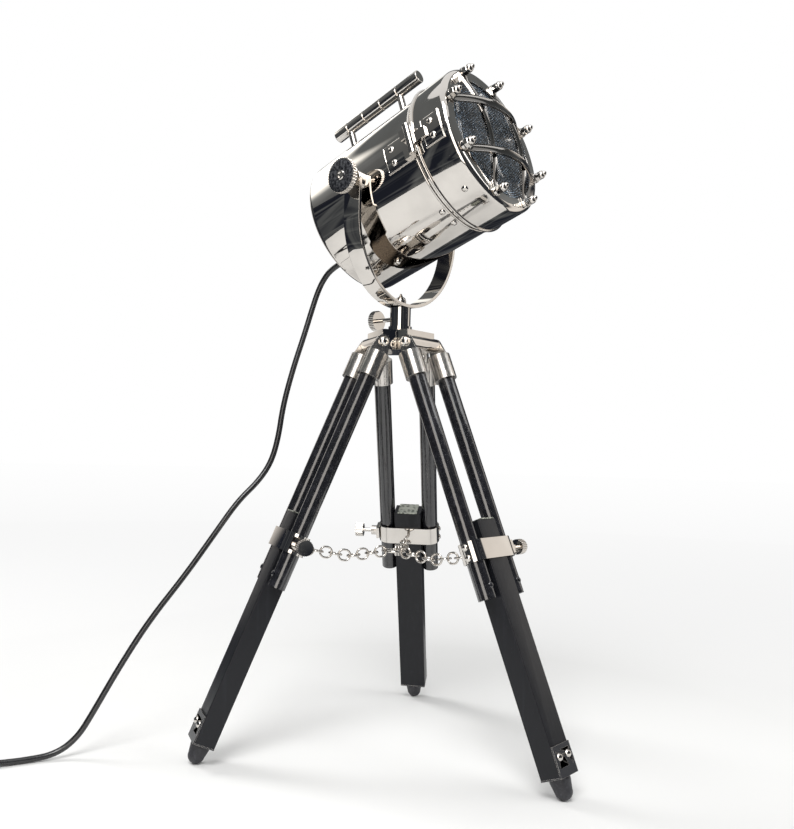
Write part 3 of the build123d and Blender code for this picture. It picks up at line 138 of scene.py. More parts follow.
# The studio. Walls list (turn about z, brightness), with a whole turn as one.
FLOOR_RADIUS = 12
FLOOR_CLEAR = 0.45  # radius round the lamp in which the floor keeps its own shade
FLOOR_FADE = 1.3  # how fast it turns white outside that radius
ROOM_RADIUS, ROOM_HEIGHT, ROOM_MIDDLE = 2.6, 4.4, 1.4
ROOM_UPPER = (1.7, 2.3)  # heights between which the walls give way to the plain upper part
WINDOW_TURNS = (0.58, 0.68, 0.78, 0.84)
WINDOW_HEIGHTS = (1.6, 1.95, 2.35, 2.7)
CARD_RADIUS, CARD_HEIGHT, CARD_MIDDLE = 0.95, 1.05, (-0.13, 0, 0.275)
PANEL_FOOT = (0.08, 0.12)  # heights between which the cards' panels start
ROOM_WALLS = (
    (0.0, 0.16), (0.035, 0.16), (0.047, 3.6), (0.11, 3.6), (0.122, 0.10), (0.17, 0.08),
    (0.22, 0.24), (0.27, 0.30), (0.31, 0.12), (0.40, 0.16), (0.45, 0.40), (0.48, 0.16),
    (0.58, 0.09), (0.64, 0.24), (0.68, 0.12), (0.77, 0.28), (0.83, 0.40), (0.87, 0.16),
    (0.94, 0.10), (1.0, 0.16),
)
CARD_PANELS = (
    (0.0, 0), (0.035, 0), (0.047, 3.6), (0.11, 3.6), (0.122, 0), (0.37, 0), (0.385, 0.95),
    (0.43, 0.95), (0.445, 0), (0.675, 0), (0.69, 0.9), (0.725, 0.9), (0.74, 0), (1.0, 0),
)
# Each soft lamp: its place, the point it faces, its side, its power in watts, and whether the
# polish mirrors it.
LAMPS = {
    "key_lamp": ((-1.0, -0.5, 1.7), (0, 0, 0.35), 0.9, 26, True),
    "fill_lamp": ((0.7, -1.6, 1.0), (0, 0, 0.3), 1.2, 12, True),
    "rim_lamp": ((-0.3, 1.5, 1.55), (0, 0, 0.45), 0.7, 18, False),
}
SOFT_FILL = 0.45  # the world's strength for diffuse rays; other rays see it at one


# ---- Settings ----
class LampFinish(bpy.types.PropertyGroup):
    """Colours and eased edges that a user would change."""

    nickel: bpy.props.FloatVectorProperty(
        name="Nickel", description="Polished plate of drum, fork and fittings",
        default=(0.67, 0.638, 0.60), size=3, min=0, max=1, subtype="COLOR")
    lacquer: bpy.props.FloatVectorProperty(
        name="Lacquer", description="Glossy black of the round rods",
        default=(0.008, 0.008, 0.010), size=3, min=0, max=1, subtype="COLOR")
    bar_paint: bpy.props.FloatVectorProperty(
        name="Bar paint", description="Satin black of the lower bars",
        default=(0.008, 0.0085, 0.011), size=3, min=0, max=1, subtype="COLOR")
    glass: bpy.props.FloatVectorProperty(
        name="Glass", description="Tint of the pebbled front glass",
        default=(0.055, 0.072, 0.092), size=3, min=0, max=1, subtype="COLOR")
    rubber: bpy.props.FloatVectorProperty(
        name="Rubber", description="Black of the rubber feet and the gland",
        default=(0.018, 0.018, 0.022), size=3, min=0, max=1, subtype="COLOR")
    edge: bpy.props.FloatProperty(
        name="Edge", description="Easing of a fitting's sharp edges",
        default=0.00025, min=0, max=0.002, subtype="DISTANCE", unit="LENGTH")


class LampCord(bpy.types.PropertyGroup):
    """Sizes of the mains cord."""

    diameter: bpy.props.FloatProperty(
        name="Diameter", description="Outside diameter of the cord",
        default=0.0056, min=0.002, max=0.01, subtype="DISTANCE", unit="LENGTH")
    length: bpy.props.FloatProperty(
        name="Length", description="Length from the gland to the plug",
        default=1.8, min=1, max=5, subtype="DISTANCE", unit="LENGTH")
    coil_turns: bpy.props.FloatProperty(
        name="Coil turns", description="Turns of the put-away length",
        default=5.12, min=1, max=12)
    coil_outer: bpy.props.FloatProperty(
        name="Coil radius", description="Radius of the outermost turn's middle line",
        default=0.0374, min=0.02, max=0.1, subtype="DISTANCE", unit="LENGTH")


class LampStage(bpy.types.PropertyGroup):
    """Camera and studio."""

    camera_place: bpy.props.FloatVectorProperty(
        name="Camera place", description="Where the camera stands",
        default=(-0.661872, -0.527287, 0.282353), size=3, subtype="TRANSLATION", unit="LENGTH")
    camera_turn: bpy.props.FloatVectorProperty(
        name="Camera turn", description="The camera's rotation about X, Y and Z",
        default=(math.radians(88.109), math.radians(-1.434), math.radians(-48.399)),
        size=3, subtype="EULER")
    lens: bpy.props.FloatProperty(
        name="Lens", description="Focal length over a 36 mm long side",
        default=38.777, min=10, max=200)
    shift: bpy.props.FloatVectorProperty(
        name="Shift", description="Shift of the image, as a share of its long side",
        default=(0.0578, 0.0785), size=2)
    floor: bpy.props.FloatVectorProperty(
        name="Floor", description="Plain pale floor",
        default=(0.80, 0.80, 0.79), size=3, subtype="COLOR")


# ---- Modelling helpers ----
def deselect():
    """Leaves edit mode and clears the selection."""
    if bpy.context.object and bpy.context.object.mode != "OBJECT":
        bpy.ops.object.mode_set(mode="OBJECT")
    bpy.ops.object.select_all(action="DESELECT")


def take(piece):
    """Makes one piece the selected and active one."""
    deselect()
    piece.select_set(True)
    bpy.context.view_layer.objects.active = piece


def apply_modifiers(piece):
    """Applies every modifier of a piece, in order."""
    take(piece)
    for modifier in list(piece.modifiers):
        bpy.ops.object.modifier_apply(modifier=modifier.name)


def ease_edges(piece, width, segments=2, angle=35):
    """Rounds a piece's sharp edges."""
    bevel = piece.modifiers.new("Eased edges", "BEVEL")
    bevel.width = width
    bevel.segments = segments
    bevel.limit_method = "ANGLE"
    bevel.angle_limit = math.radians(angle)
    bevel.use_clamp_overlap = True
    apply_modifiers(piece)


def shade_smooth(piece, angle=SMOOTH_ANGLE):
    """Shades a piece smooth, apart from its sharp edges."""
    take(piece)
    bpy.ops.object.shade_smooth_by_angle(angle=angle)


def true_curves(piece, node):
    """Gives a piece the exact surface directions of the solid that it was copied from."""
    carry = piece.modifiers.new("True curves", "DATA_TRANSFER")
    carry.object = frame["nodes"][node]
    carry.use_loop_data = True
    carry.data_types_loops = {"CUSTOM_NORMAL"}
    carry.loop_mapping = "POLYINTERP_NEAREST"
    apply_modifiers(piece)


def add_object(name, data):
    """Adds an object with this mesh or curve to the scene."""
    made = bpy.data.objects.new(name, data)
    bpy.context.scene.collection.objects.link(made)
    return made


def settle(piece, place):
    """Turns a piece made at the origin into place, and leaves its object at the origin."""
    piece.matrix_world = place
    take(piece)
    bpy.ops.object.transform_apply(location=True, rotation=True, scale=True)


def edit_all(piece):
    """Opens a piece in edit mode with all of it selected."""
    take(piece)
    bpy.ops.object.mode_set(mode="EDIT")
    bpy.ops.mesh.select_all(action="SELECT")


def tidy_mesh(piece):
    """Merges doubled points and turns all faces outwards."""
    edit_all(piece)
    bpy.ops.mesh.remove_doubles(threshold=MERGE)
    bpy.ops.mesh.normals_make_consistent(inside=False)
    bpy.ops.object.mode_set(mode="OBJECT")


def finish(piece, body, material, slot, *nodes):
    """Gives a piece its material, its body and the nodes that it stands for; its slot argument is
    not used.
    """
    piece.data.materials.clear()
    piece.data.materials.append(material)
    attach(piece, body)
    if nodes:
        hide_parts(*nodes)
    return piece


def copy_solid(node, name):
    """A merged copy of a plain solid's mesh, ready for finer work."""
    piece = add_object(name, frame["nodes"][node].data.copy())
    take(piece)
    bpy.ops.mesh.customdata_custom_splitnormals_clear()
    edit_all(piece)
    bpy.ops.mesh.remove_doubles(threshold=MERGE)
    bpy.ops.mesh.dissolve_limited(angle_limit=FLAT_ANGLE)
    bpy.ops.object.mode_set(mode="OBJECT")
    return piece


def turned(name, profile, sides=32):
    """A solid turned about z from its bottom up; the profile lists (radius, height) in metres."""
    deselect()
    radius, height = profile[0]
    bpy.ops.mesh.primitive_circle_add(
        vertices=sides, radius=radius, fill_type="NGON", location=(0, 0, 0))
    piece = bpy.context.object
    piece.name = name
    edit_all(piece)
    bpy.ops.transform.translate(value=(0, 0, height))
    for next_radius, next_height in profile[1:]:
        bpy.ops.mesh.extrude_region_move(
            TRANSFORM_OT_translate={"value": (0, 0, next_height - height)})
        if next_radius:
            share = next_radius / radius
            bpy.ops.transform.resize(
                value=(share, share, 1), center_override=(0, 0, next_height))
        else:
            bpy.ops.mesh.merge(type="CENTER")
        radius, height = next_radius, next_height
    bpy.ops.object.mode_set(mode="OBJECT")
    tidy_mesh(piece)
    return piece


def copy_to(piece, name, place):
    """A copy of a finished shape with its own mesh, set into place."""
    made = add_object(name, piece.data.copy())
    settle(made, place)
    return made


def join_all(pieces, name):
    """Joins pieces into the first of them."""
    deselect()
    for piece in pieces:
        piece.select_set(True)
    bpy.context.view_layer.objects.active = pieces[0]
    bpy.ops.object.join()
    pieces[0].name = name
    return pieces[0]


def place_copies(piece, places, name):
    """One piece made of a copy of a shape at each place; the shape itself is used up."""
    copies = [copy_to(piece, f"{name}_{count}", place) for count, place in enumerate(places)]
    bpy.data.objects.remove(piece)
    return join_all(copies, name)


def sink_middle(piece, chosen, border, depth):
    """Insets the chosen faces and sinks them, so that a raised border is left round them."""
    take(piece)
    bpy.ops.object.mode_set(mode="EDIT")
    bpy.ops.mesh.select_all(action="DESELECT")
    bpy.ops.object.mode_set(mode="OBJECT")
    for face in piece.data.polygons:
        face.select = chosen(face)
    bpy.ops.object.mode_set(mode="EDIT")
    bpy.ops.mesh.inset(thickness=border, depth=-depth, use_boundary=True)
    bpy.ops.object.mode_set(mode="OBJECT")


def dress(node, body, material, slot, edge=0.0):
    """A copy of a solid with its edges eased and its curved faces shaded smooth."""
    piece = copy_solid(node, f"{node}_dressed")
    if edge:
        ease_edges(piece, edge)
    shade_smooth(piece)
    true_curves(piece, node)
    return finish(piece, body, material, slot, node)


# ---- Frames ----
def frame_at(origin, along, beside):
    """A matrix whose z runs along one direction and whose x lies as near another as it can."""
    z = Vector(along).normalized()
    y = z.cross(Vector(beside)).normalized()
    axes = Matrix((y.cross(z), y, z)).transposed().to_4x4()
    return Matrix.Translation(Vector(origin)) @ axes


# The head's own frame: its origin on the tilt axis, x across it and z along the beam.
HEAD = frame_at(JOINTS["head_tilt"]["pos_m"], JOINTS["latch_screw_turn"]["axis"], (1, 0, 0))


def on_head(across, up, place):
    """A frame at a place in the head whose z runs along the beam."""
    return HEAD @ Matrix.Translation((across, up, place))


def leg_frame(leg):
    """Local x runs across a leg and z down it, from the hinge bolt's middle."""
    fold = JOINTS[f"{leg}_leg_fold"]
    return frame_at(fold["pos_m"], JOINTS[f"{leg}_leg_slide"]["axis"], fold["axis"])


# ---- Shaders ----
class Value:
    """A shader socket that adds its own Math nodes when it is used in an expression."""

    def __init__(self, shader, socket):
        self.shader = shader
        self.socket = socket

    def maths(self, operation, first, second):
        """The result of one Math node, of which this value need not be an input."""
        return self.shader.node("ShaderNodeMath", {"operation": operation}, first, second)

    def __add__(self, other):
        return self.maths("ADD", self, other)

    def __sub__(self, other):
        return self.maths("SUBTRACT", self, other)

    def __rsub__(self, other):
        return self.maths("SUBTRACT", other, self)

    def __mul__(self, other):
        return self.maths("MULTIPLY", self, other)

    def __truediv__(self, other):
        return self.maths("DIVIDE", self, other)

    def __rtruediv__(self, other):
        return self.maths("DIVIDE", other, self)

    def __pow__(self, other):
        return self.maths("POWER", self, other)

    def sine(self):
        return self.maths("SINE", self, None)

    def ramp(self, low, high):
        """Zero up to low, one from high on, and a smooth rise between."""
        settings = {"interpolation_type": "SMOOTHSTEP"}
        return self.shader.node("ShaderNodeMapRange", settings, self, low, high)

    def band(self, start, full, fading, end):
        """One between full and fading, and a smooth fall to zero on both sides."""
        return self.ramp(start, full) * (1 - self.ramp(fading, end))

    __radd__ = __add__
    __rmul__ = __mul__


class Shader:
    """A tree of shader nodes: each is added by node(), and feed() sets or links a socket."""

    def __init__(self, tree):
        self.tree = tree

    def node(self, kind, settings, *inputs, output=0):
        made = self.tree.nodes.new(kind)
        for setting, value in settings.items():
            setattr(made, setting, value)
        for socket, value in zip(made.inputs, inputs):
            self.feed(socket, value)
        return Value(self, made.outputs[output])

    def feed(self, socket, value):
        if isinstance(value, Value):
            self.tree.links.new(value.socket, socket)
        elif value is not None:
            socket.default_value = value

    def point(self):
        """Object coordinates."""
        return self.node("ShaderNodeTexCoord", {}, output="Object")

    def place(self, stretch=(1, 1, 1), turn=(0, 0, 0)):
        """Object coordinates, turned and stretched along each axis."""
        return self.node("ShaderNodeMapping", {}, self.point(), (0, 0, 0), turn, stretch)

    def split(self, point):
        """The three parts of a vector, each as a value."""
        parts = self.tree.nodes.new("ShaderNodeSeparateXYZ")
        self.feed(parts.inputs[0], point)
        return [Value(self, socket) for socket in parts.outputs]

    def about_z(self, x, y):
        """The turn about z of a place, as a share of a whole turn."""
        return x.maths("ARCTAN2", y, x) / (2 * math.pi) + 0.5

    def noise(self, scale, detail=3, stretch=(1, 1, 1), turn=(0, 0, 0)):
        return self.node("ShaderNodeTexNoise", {}, self.place(stretch, turn), None, scale, detail)

    def cells(self, scale, stretch=(1, 1, 1)):
        return self.node("ShaderNodeTexVoronoi", {}, self.place(stretch), None, scale)

    def bend(self, width):
        """Zero on a flat face, and more the sharper the edge that lies within a width."""
        rounded = self.node("ShaderNodeBevel", {"samples": 4}, width)
        flat = self.node("ShaderNodeNewGeometry", {}, output="Normal")
        settings = {"operation": "DOT_PRODUCT"}
        return 1 - self.node("ShaderNodeVectorMath", settings, rounded, flat, output="Value")

    def ramp_of(self, value, stops, tint):
        """A grey of several stops along a value, with a tint."""
        made = self.tree.nodes.new("ShaderNodeValToRGB")
        while len(made.color_ramp.elements) < len(stops):
            made.color_ramp.elements.new(0.5)
        for element, (place, level) in zip(made.color_ramp.elements, stops):
            element.position = place
            element.color = rgba(tint, level)
        self.feed(made.inputs[0], value)
        return Value(self, made.outputs[0])

    def mix(self, factor, first, second, blend="MIX"):
        """A colour between two others, or their sum."""
        made = self.tree.nodes.new("ShaderNodeMix")
        made.data_type = "RGBA"
        made.blend_type = blend
        self.feed(made.inputs[SOCKET_FACTOR], factor)
        self.feed(made.inputs[SOCKET_FIRST], first)
        self.feed(made.inputs[SOCKET_SECOND], second)
        return Value(self, made.outputs[SOCKET_RESULT])


class Finish(Shader):
    """A material with one Principled surface."""

    def __init__(self, name, colour, roughness, metallic=0.0, **fixed):
        self.material = bpy.data.materials.new(name)
        self.material.use_nodes = True
        super().__init__(self.material.node_tree)
        self.surface = self.tree.nodes["Principled BSDF"]
        self.set("Base Color", colour)
        self.set("Roughness", roughness)
        self.set("Metallic", metallic)
        for socket, value in fixed.items():
            self.set(socket.replace("_", " "), value)

    def set(self, socket, value):
        self.feed(self.surface.inputs[socket], value)

    def tint(self, factor, first, second):
        """Colours the surface between two colours."""
        self.set("Base Color", self.mix(factor, first, second))

    def bump(self, height, strength, distance):
        """Raises the surface by a height."""
        made = self.tree.nodes.new("ShaderNodeBump")
        made.inputs["Strength"].default_value = strength
        made.inputs["Distance"].default_value = distance
        self.feed(made.inputs["Height"], height)
        self.set("Normal", Value(self, made.outputs[0]))


def rgba(colour, share=1.0):
    """A colour with its alpha, at a share of its brightness."""
    return (*(channel * share for channel in colour), 1)


def polished_nickel(name, haze=0.04, scratch=0.010):
    """Mirror plate with faint wiping marks, shallow dents and a little uneven haze."""
    colour = bpy.context.scene.lamp_finish.nickel
    made = Finish(name, rgba(colour), haze, 1.0)
    cloud = made.noise(38, 4)
    wipe = made.noise(900, 2, (1, 0.12, 0.12), (0.3, 0.2, 0.4))
    dent = made.noise(20, 1)
    made.tint(cloud.ramp(0.35, 0.75), rgba(colour), rgba(colour, 0.88))
    made.set("Roughness", cloud.ramp(0.4, 0.8) * haze + wipe.ramp(0.55, 0.8) * 0.06 + haze * 0.5)
    made.bump(wipe + dent * 6, strength=scratch, distance=0.0003)
    return made.material


def knob_face_metal(name):
    """Dull dark face of a knob, mottled where fingers touch it."""
    dark, worn = (0.025, 0.027, 0.034, 1), (0.16, 0.165, 0.18, 1)
    made = Finish(name, dark, 0.42, 0.85)
    mottle = made.noise(420, 4)
    made.tint(mottle.ramp(0.38, 0.66), dark, worn)
    made.set("Roughness", mottle * 0.3 + 0.3)
    made.bump(mottle, strength=0.25, distance=0.0003)
    return made.material


def shoe_metal(name):
    """Black plate with bright bare steel in specks along its edges: partly edge wear, partly a
    painted highlight where the edges catch light.
    """
    black, steel = (0.018, 0.019, 0.023, 1), (0.62, 0.59, 0.55, 1)
    made = Finish(name, black, 0.34)
    speck = made.noise(700, 3)
    # Steel in specks along the edges: partly wear, partly a painted highlight on the edges.
    edge_wear_and_glint = made.bend(0.0006).ramp(0.01, 0.10) * speck.ramp(0.3, 0.5)
    made.tint(edge_wear_and_glint, black, steel)
    made.set("Metallic", edge_wear_and_glint)
    made.set("Roughness", speck * 0.2 + 0.22)
    made.bump(speck, strength=0.12, distance=0.0003)
    return made.material


def stop_plate_painted_glare(name):
    """Pale plate with a coarse crystalline fleck; the pale colour is a painted reflection of bright
    light on the bar's top end.
    """
    # The pale colour is a painted reflection, standing in for the light mirrored by the bar's top
    # end.
    dark, pale = (0.10, 0.11, 0.09, 1), (0.46, 0.48, 0.42, 1)
    made = Finish(name, pale, 0.35, 0.6)
    fleck = made.cells(430, (1, 0.6, 1))
    made.tint(fleck.ramp(0.25, 0.6), dark, pale)
    made.set("Roughness", fleck * 0.2 + 0.25)
    made.bump(fleck, strength=0.5, distance=0.0006)
    return made.material


def strip_nickel_painted_light(name):
    """Nickel with painted shade on a strip's face and a painted highlight along its raised edges.
    """
    colour = bpy.context.scene.lamp_finish.nickel
    made = Finish(name, rgba(colour, 0.3), 0.1, 1.0)
    haze = made.noise(300, 3)
    # Painted light: the face is coloured dark as painted shade, and the raised edges brighter than
    # the plate itself as a painted highlight.
    edge_wear_and_glint = made.bend(0.0009).ramp(0.004, 0.05)
    made.tint(edge_wear_and_glint, rgba(colour, 0.26), rgba(colour, 1.3))
    made.set("Roughness", haze * 0.1 + 0.05)
    made.bump(haze, strength=0.03, distance=0.0003)
    return made.material


def brushed_nickel(name):
    """Plate with the fine round marks of a turned cup."""
    colour = bpy.context.scene.lamp_finish.nickel
    made = Finish(name, rgba(colour), 0.2, 1.0)
    streak = made.noise(900, 3, (1, 1, 0.12))
    made.tint(streak.ramp(0.3, 0.7), rgba(colour, 0.82), rgba(colour))
    made.set("Roughness", streak * 0.16 + 0.13)
    made.bump(streak, strength=0.12, distance=0.0002)
    return made.material


def black_lacquer(name):
    """Thick glossy black over turned wood, with the ripple of a dipped coat."""
    colour = bpy.context.scene.lamp_finish.lacquer
    made = Finish(name, rgba(colour), 0.13, Coat_Weight=1.0, Coat_Roughness=0.04)
    ripple = made.noise(150, 2)
    fleck = made.noise(1300, 1)
    made.tint(ripple.ramp(0.4, 0.8), rgba(colour), rgba(colour, 2.2))
    made.set("Roughness", ripple * 0.1 + fleck.ramp(0.62, 0.7) * 0.2 + 0.08)
    made.bump(ripple * 2 + fleck.ramp(0.66, 0.72) * 0.5, strength=0.35, distance=0.0004)
    return made.material


def bar_paint(name):
    """Satin black over straight-grained wood, a little rubbed."""
    colour = bpy.context.scene.lamp_finish.bar_paint
    made = Finish(name, rgba(colour), 0.36, Specular_IOR_Level=0.3)
    grain = made.noise(240, 4, (1, 1, 0.06))
    dust = made.noise(900, 2).ramp(0.68, 0.76)
    rubbed = dust * 0.5 + grain.ramp(0.5, 0.9) * 0.3
    made.tint(rubbed, rgba(colour), rgba(colour, 4))
    made.set("Roughness", grain * 0.2 + dust * 0.2 + 0.24)
    made.bump(grain, strength=0.25, distance=0.0004)
    return made.material


def black_rubber(name):
    """Moulded rubber with a fine dry bloom."""
    colour = bpy.context.scene.lamp_finish.rubber
    made = Finish(name, rgba(colour), 0.5)
    bloom = made.noise(520, 4)
    made.tint(bloom.ramp(0.45, 0.8), rgba(colour), rgba(colour, 2.4))
    made.set("Roughness", bloom * 0.25 + 0.38)
    made.bump(bloom, strength=0.18, distance=0.0002)
    return made.material


def black_plastic(name, roughness=0.28):
    """Moulded black plastic with a fine spark-eroded skin."""
    black, worn = (0.014, 0.014, 0.016, 1), (0.024, 0.024, 0.026, 1)
    made = Finish(name, black, roughness, Coat_Weight=0.15)
    skin = made.noise(1500, 2)
    made.tint(made.noise(60, 2).ramp(0.3, 0.8), black, worn)
    made.set("Roughness", skin * 0.14 + roughness - 0.04)
    made.bump(skin, strength=0.1, distance=0.0002)
    return made.material


def pebbled_glass(name):
    """Dark grey-blue pressed glass: rows of small pebbles, with rings near its edge, and painted
    glints on the pebbles.
    """
    colour = bpy.context.scene.lamp_finish.glass
    made = Finish(name, rgba(colour), 0.16, Coat_Weight=0.5, Coat_Roughness=0.06,
                  Transmission_Weight=0.25)
    local = made.node("ShaderNodeMapping", {"vector_type": "TEXTURE"}, made.point(),
                      HEAD.translation, HEAD.to_euler())
    x, y, _ = made.split(local)
    sway = made.node("ShaderNodeTexNoise", {}, local, None, 160.0, 2.0) * 5
    rows = (x * PEBBLE_WAVES[0] + sway).sine() * (y * PEBBLE_WAVES[1] + sway).sine()
    reach = (x * x + y * y) ** 0.5
    rings = (reach * RING_WAVE).sine()
    at_edge = reach.ramp(RINGS_FROM, RINGS_FULL)
    height = rows * (1 - at_edge) + rings * at_edge
    sparkle = made.node("ShaderNodeTexNoise", {}, local, None, 420.0, 3.0)
    # Painted glints: the glass is coloured far lighter than its tint on the pebbles' crests, and
    # darker between them as painted shade.
    painted_glints = height.ramp(0.1, 0.9) * sparkle.ramp(0.42, 0.66)
    made.tint(painted_glints, rgba(colour, 0.4), rgba(colour, 9))
    made.set("Roughness", sparkle * 0.25 + 0.08)
    made.bump(height + sparkle * 0.6, strength=0.7, distance=0.0005)
    return made.material


def frosted_glass(name):
    """The bulb's etched globe."""
    made = Finish(name, (0.88, 0.88, 0.86, 1), 0.4, Transmission_Weight=0.3)
    etch = made.noise(1200, 2)
    made.set("Roughness", etch * 0.2 + 0.3)
    made.tint(etch, (0.84, 0.84, 0.82, 1), (0.92, 0.92, 0.9, 1))
    return made.material


def spun_aluminium(name):
    """The bright bowl behind the bulb, with fine marks round it."""
    made = Finish(name, (0.82, 0.82, 0.83, 1), 0.16, 1.0)
    mark = made.noise(300, 3)
    made.tint(mark, (0.76, 0.76, 0.77, 1), (0.86, 0.86, 0.87, 1))
    made.set("Roughness", mark * 0.1 + 0.1)
    return made.material


def glazed_ceramic(name):
    """The lampholder's pale glaze."""
    glaze, crack = (0.82, 0.80, 0.74, 1), (0.68, 0.64, 0.56, 1)
    made = Finish(name, glaze, 0.2)
    fleck = made.noise(400, 3)
    made.tint(fleck.ramp(0.6, 0.75), glaze, crack)
    made.set("Roughness", fleck * 0.1 + 0.15)
    return made.material


def cord_sheath(name):
    """Smooth black sheath with the faint waviness of the cores under it."""
    made = Finish(name, (0.012, 0.012, 0.013, 1), 0.26, Coat_Weight=0.3)
    wave = made.noise(180, 2)
    made.tint(wave, (0.009, 0.009, 0.010, 1), (0.019, 0.019, 0.021, 1))
    made.set("Roughness", wave * 0.16 + 0.2)
    made.bump(wave, strength=0.2, distance=0.0004)
    return made.material


# ---- Operators ----
class DressHead(bpy.types.Operator):
    """Polishes the drum, its door, handle, hinge and guard, and fits glass, bulb and reflector"""

    bl_idname = "lamp.dress_head"
    bl_label = "Head"

    def execute(self, context):
        edge = context.scene.lamp_finish.edge
        nickel = polished_nickel("drum_nickel")
        trim = polished_nickel("trim_nickel", haze=0.06, scratch=0.006)
        for node in ("drum_shell", "pivot_bosses"):
            dress(node, "head", nickel, "polished_nickel", edge)
        for node in ("handle_bar", "handle_posts", "drum_screws", "hinge_pin"):
            dress(node, "head", trim, "polished_nickel", edge)
        dress("door_ring", "door", nickel, "polished_nickel", edge)
        dress("door_screws", "door", trim, "polished_nickel", edge)
        dress("latch_screw", "latch_screw", trim, "polished_nickel", edge)
        dress("hinge_leaf_drum", "head", trim, "polished_nickel", edge)
        dress("hinge_leaf_door", "door", trim, "polished_nickel", edge)
        for name in LEAF_BORDERS:
            self.border_leaf(name, trim, *LEAF_BORDERS[name])
        self.fit_guard(trim, edge)
        dress("lens", "door", pebbled_glass("lens_glass"), "lens_glass")
        dress("lens_seal", "door", black_rubber("seal_rubber"), "black_rubber")
        dress("bulb", "head", frosted_glass("bulb_glass"), "bulb_glass")
        dress("reflector", "head", spun_aluminium("reflector_aluminium"), "reflector_metal")
        dress("lampholder", "head", glazed_ceramic("holder_ceramic"), "holder_ceramic")
        dress("cord_gland", "head", black_rubber("gland_rubber"), "black_rubber")
        return {"FINISHED"}

    @staticmethod
    def border_leaf(name, nickel, body, radius, near, length):
        """A raised border round the outside of a hinge leaf, wrapped on its curve."""
        deselect()
        bpy.ops.mesh.primitive_grid_add(
            x_subdivisions=12, y_subdivisions=4, size=1, location=(0, 0, 0))
        border = bpy.context.object
        border.name = name
        border.scale = (2 * LEAF_HALF_WIDTH, length - 2 * LEAF_END_GAP, 1)
        bpy.ops.object.transform_apply(location=False, rotation=False, scale=True)
        edit_all(border)
        bpy.ops.mesh.inset(thickness=LEAF_BORDER_WIDTH, depth=0)
        bpy.ops.mesh.delete(type="FACE")
        bpy.ops.mesh.select_all(action="SELECT")
        bpy.ops.mesh.extrude_region_move(
            TRANSFORM_OT_translate={"value": (0, 0, LEAF_BORDER_HEIGHT)})
        bpy.ops.object.mode_set(mode="OBJECT")
        tidy_mesh(border)
        ease_edges(border, LEAF_BORDER_EASE, segments=1, angle=50)
        for vertex in border.data.vertices:
            across, along, up = vertex.co
            turn = math.pi - across / radius
            reach = radius + up - LEAF_BORDER_SINK
            place = near + length / 2 + along
            vertex.co = HEAD @ Vector((reach * math.cos(turn), reach * math.sin(turn), place))
        tidy_mesh(border)
        shade_smooth(border)
        finish(border, body, nickel, "polished_nickel")

    @staticmethod
    def fit_guard(nickel, edge):
        """The bowed strips with raised edges, and the spiked acorn nuts that hold them."""
        beam = HEAD.to_3x3() @ Vector((0, 0, 1))
        strips = copy_solid("guard_strips", "guard_strips_dressed")
        sink_middle(strips, lambda face: (face.normal.dot(beam) > STRIP_FACE_LEAN
                                          and face.area > STRIP_FACE_AREA),
                    STRIP_BORDER_WIDTH, STRIP_SINK)
        ease_edges(strips, edge, segments=1)
        shade_smooth(strips)
        finish(strips, "door", strip_nickel_painted_light("strip_nickel_painted_light"), "polished_nickel", "guard_strips")
        stud = join_all([turned("stud_washer", STUD_WASHER, sides=24),
                         turned("stud_nut", STUD_NUT, sides=6),
                         turned("stud_dome", STUD_DOME, sides=20)], "stud")
        shade_smooth(stud, math.radians(40))
        turns = [math.radians(360 / STUD_COUNT * (count + 0.5)) for count in range(STUD_COUNT)]
        places = [on_head(STUD_CIRCLE * math.cos(turn), STUD_CIRCLE * math.sin(turn), STUD_PLACE)
                  for turn in turns]
        studs = place_copies(stud, places, "guard_studs_dressed")
        finish(studs, "door", nickel, "polished_nickel", "guard_studs")


class DressFork(bpy.types.Operator):
    """Polishes the fork, its stem and screws, the hub under them and the chain's ring"""

    bl_idname = "lamp.dress_fork"
    bl_label = "Fork and hub"

    def execute(self, context):
        edge = context.scene.lamp_finish.edge
        nickel = polished_nickel("fork_nickel")
        for node, body in (("fork", "fork"), ("stem_bolt", "fork"),
                           ("tilt_knob_left", "tilt_knob_left"),
                           ("tilt_knob_right", "tilt_knob_right"), ("pan_screw", "pan_screw"),
                           ("hub", "root"), ("hinge_bolts", "root"), ("stem_sleeve", "root")):
            dress(node, body, nickel, "polished_nickel", edge)
        dress("chain_ring", "root", nickel, "chain_nickel", edge)
        face_metal = knob_face_metal("knob_face")
        for side, name in ((-1, "left"), (1, "right")):
            middle = HEAD.translation + Vector((side * KNOB_FACE_PLACE, 0, 0))
            outside = frame_at(middle, (side, 0, 0), (0, 1, 0))
            for part, profile, sides, material in (("face", KNOB_FACE, 48, face_metal),
                                                   ("ring", KNOB_RING, 32, nickel)):
                piece = turned(f"knob_{part}_{name}", profile, sides)
                shade_smooth(piece)
                settle(piece, outside)
                finish(piece, f"tilt_knob_{name}", material, "polished_nickel")
        return {"FINISHED"}


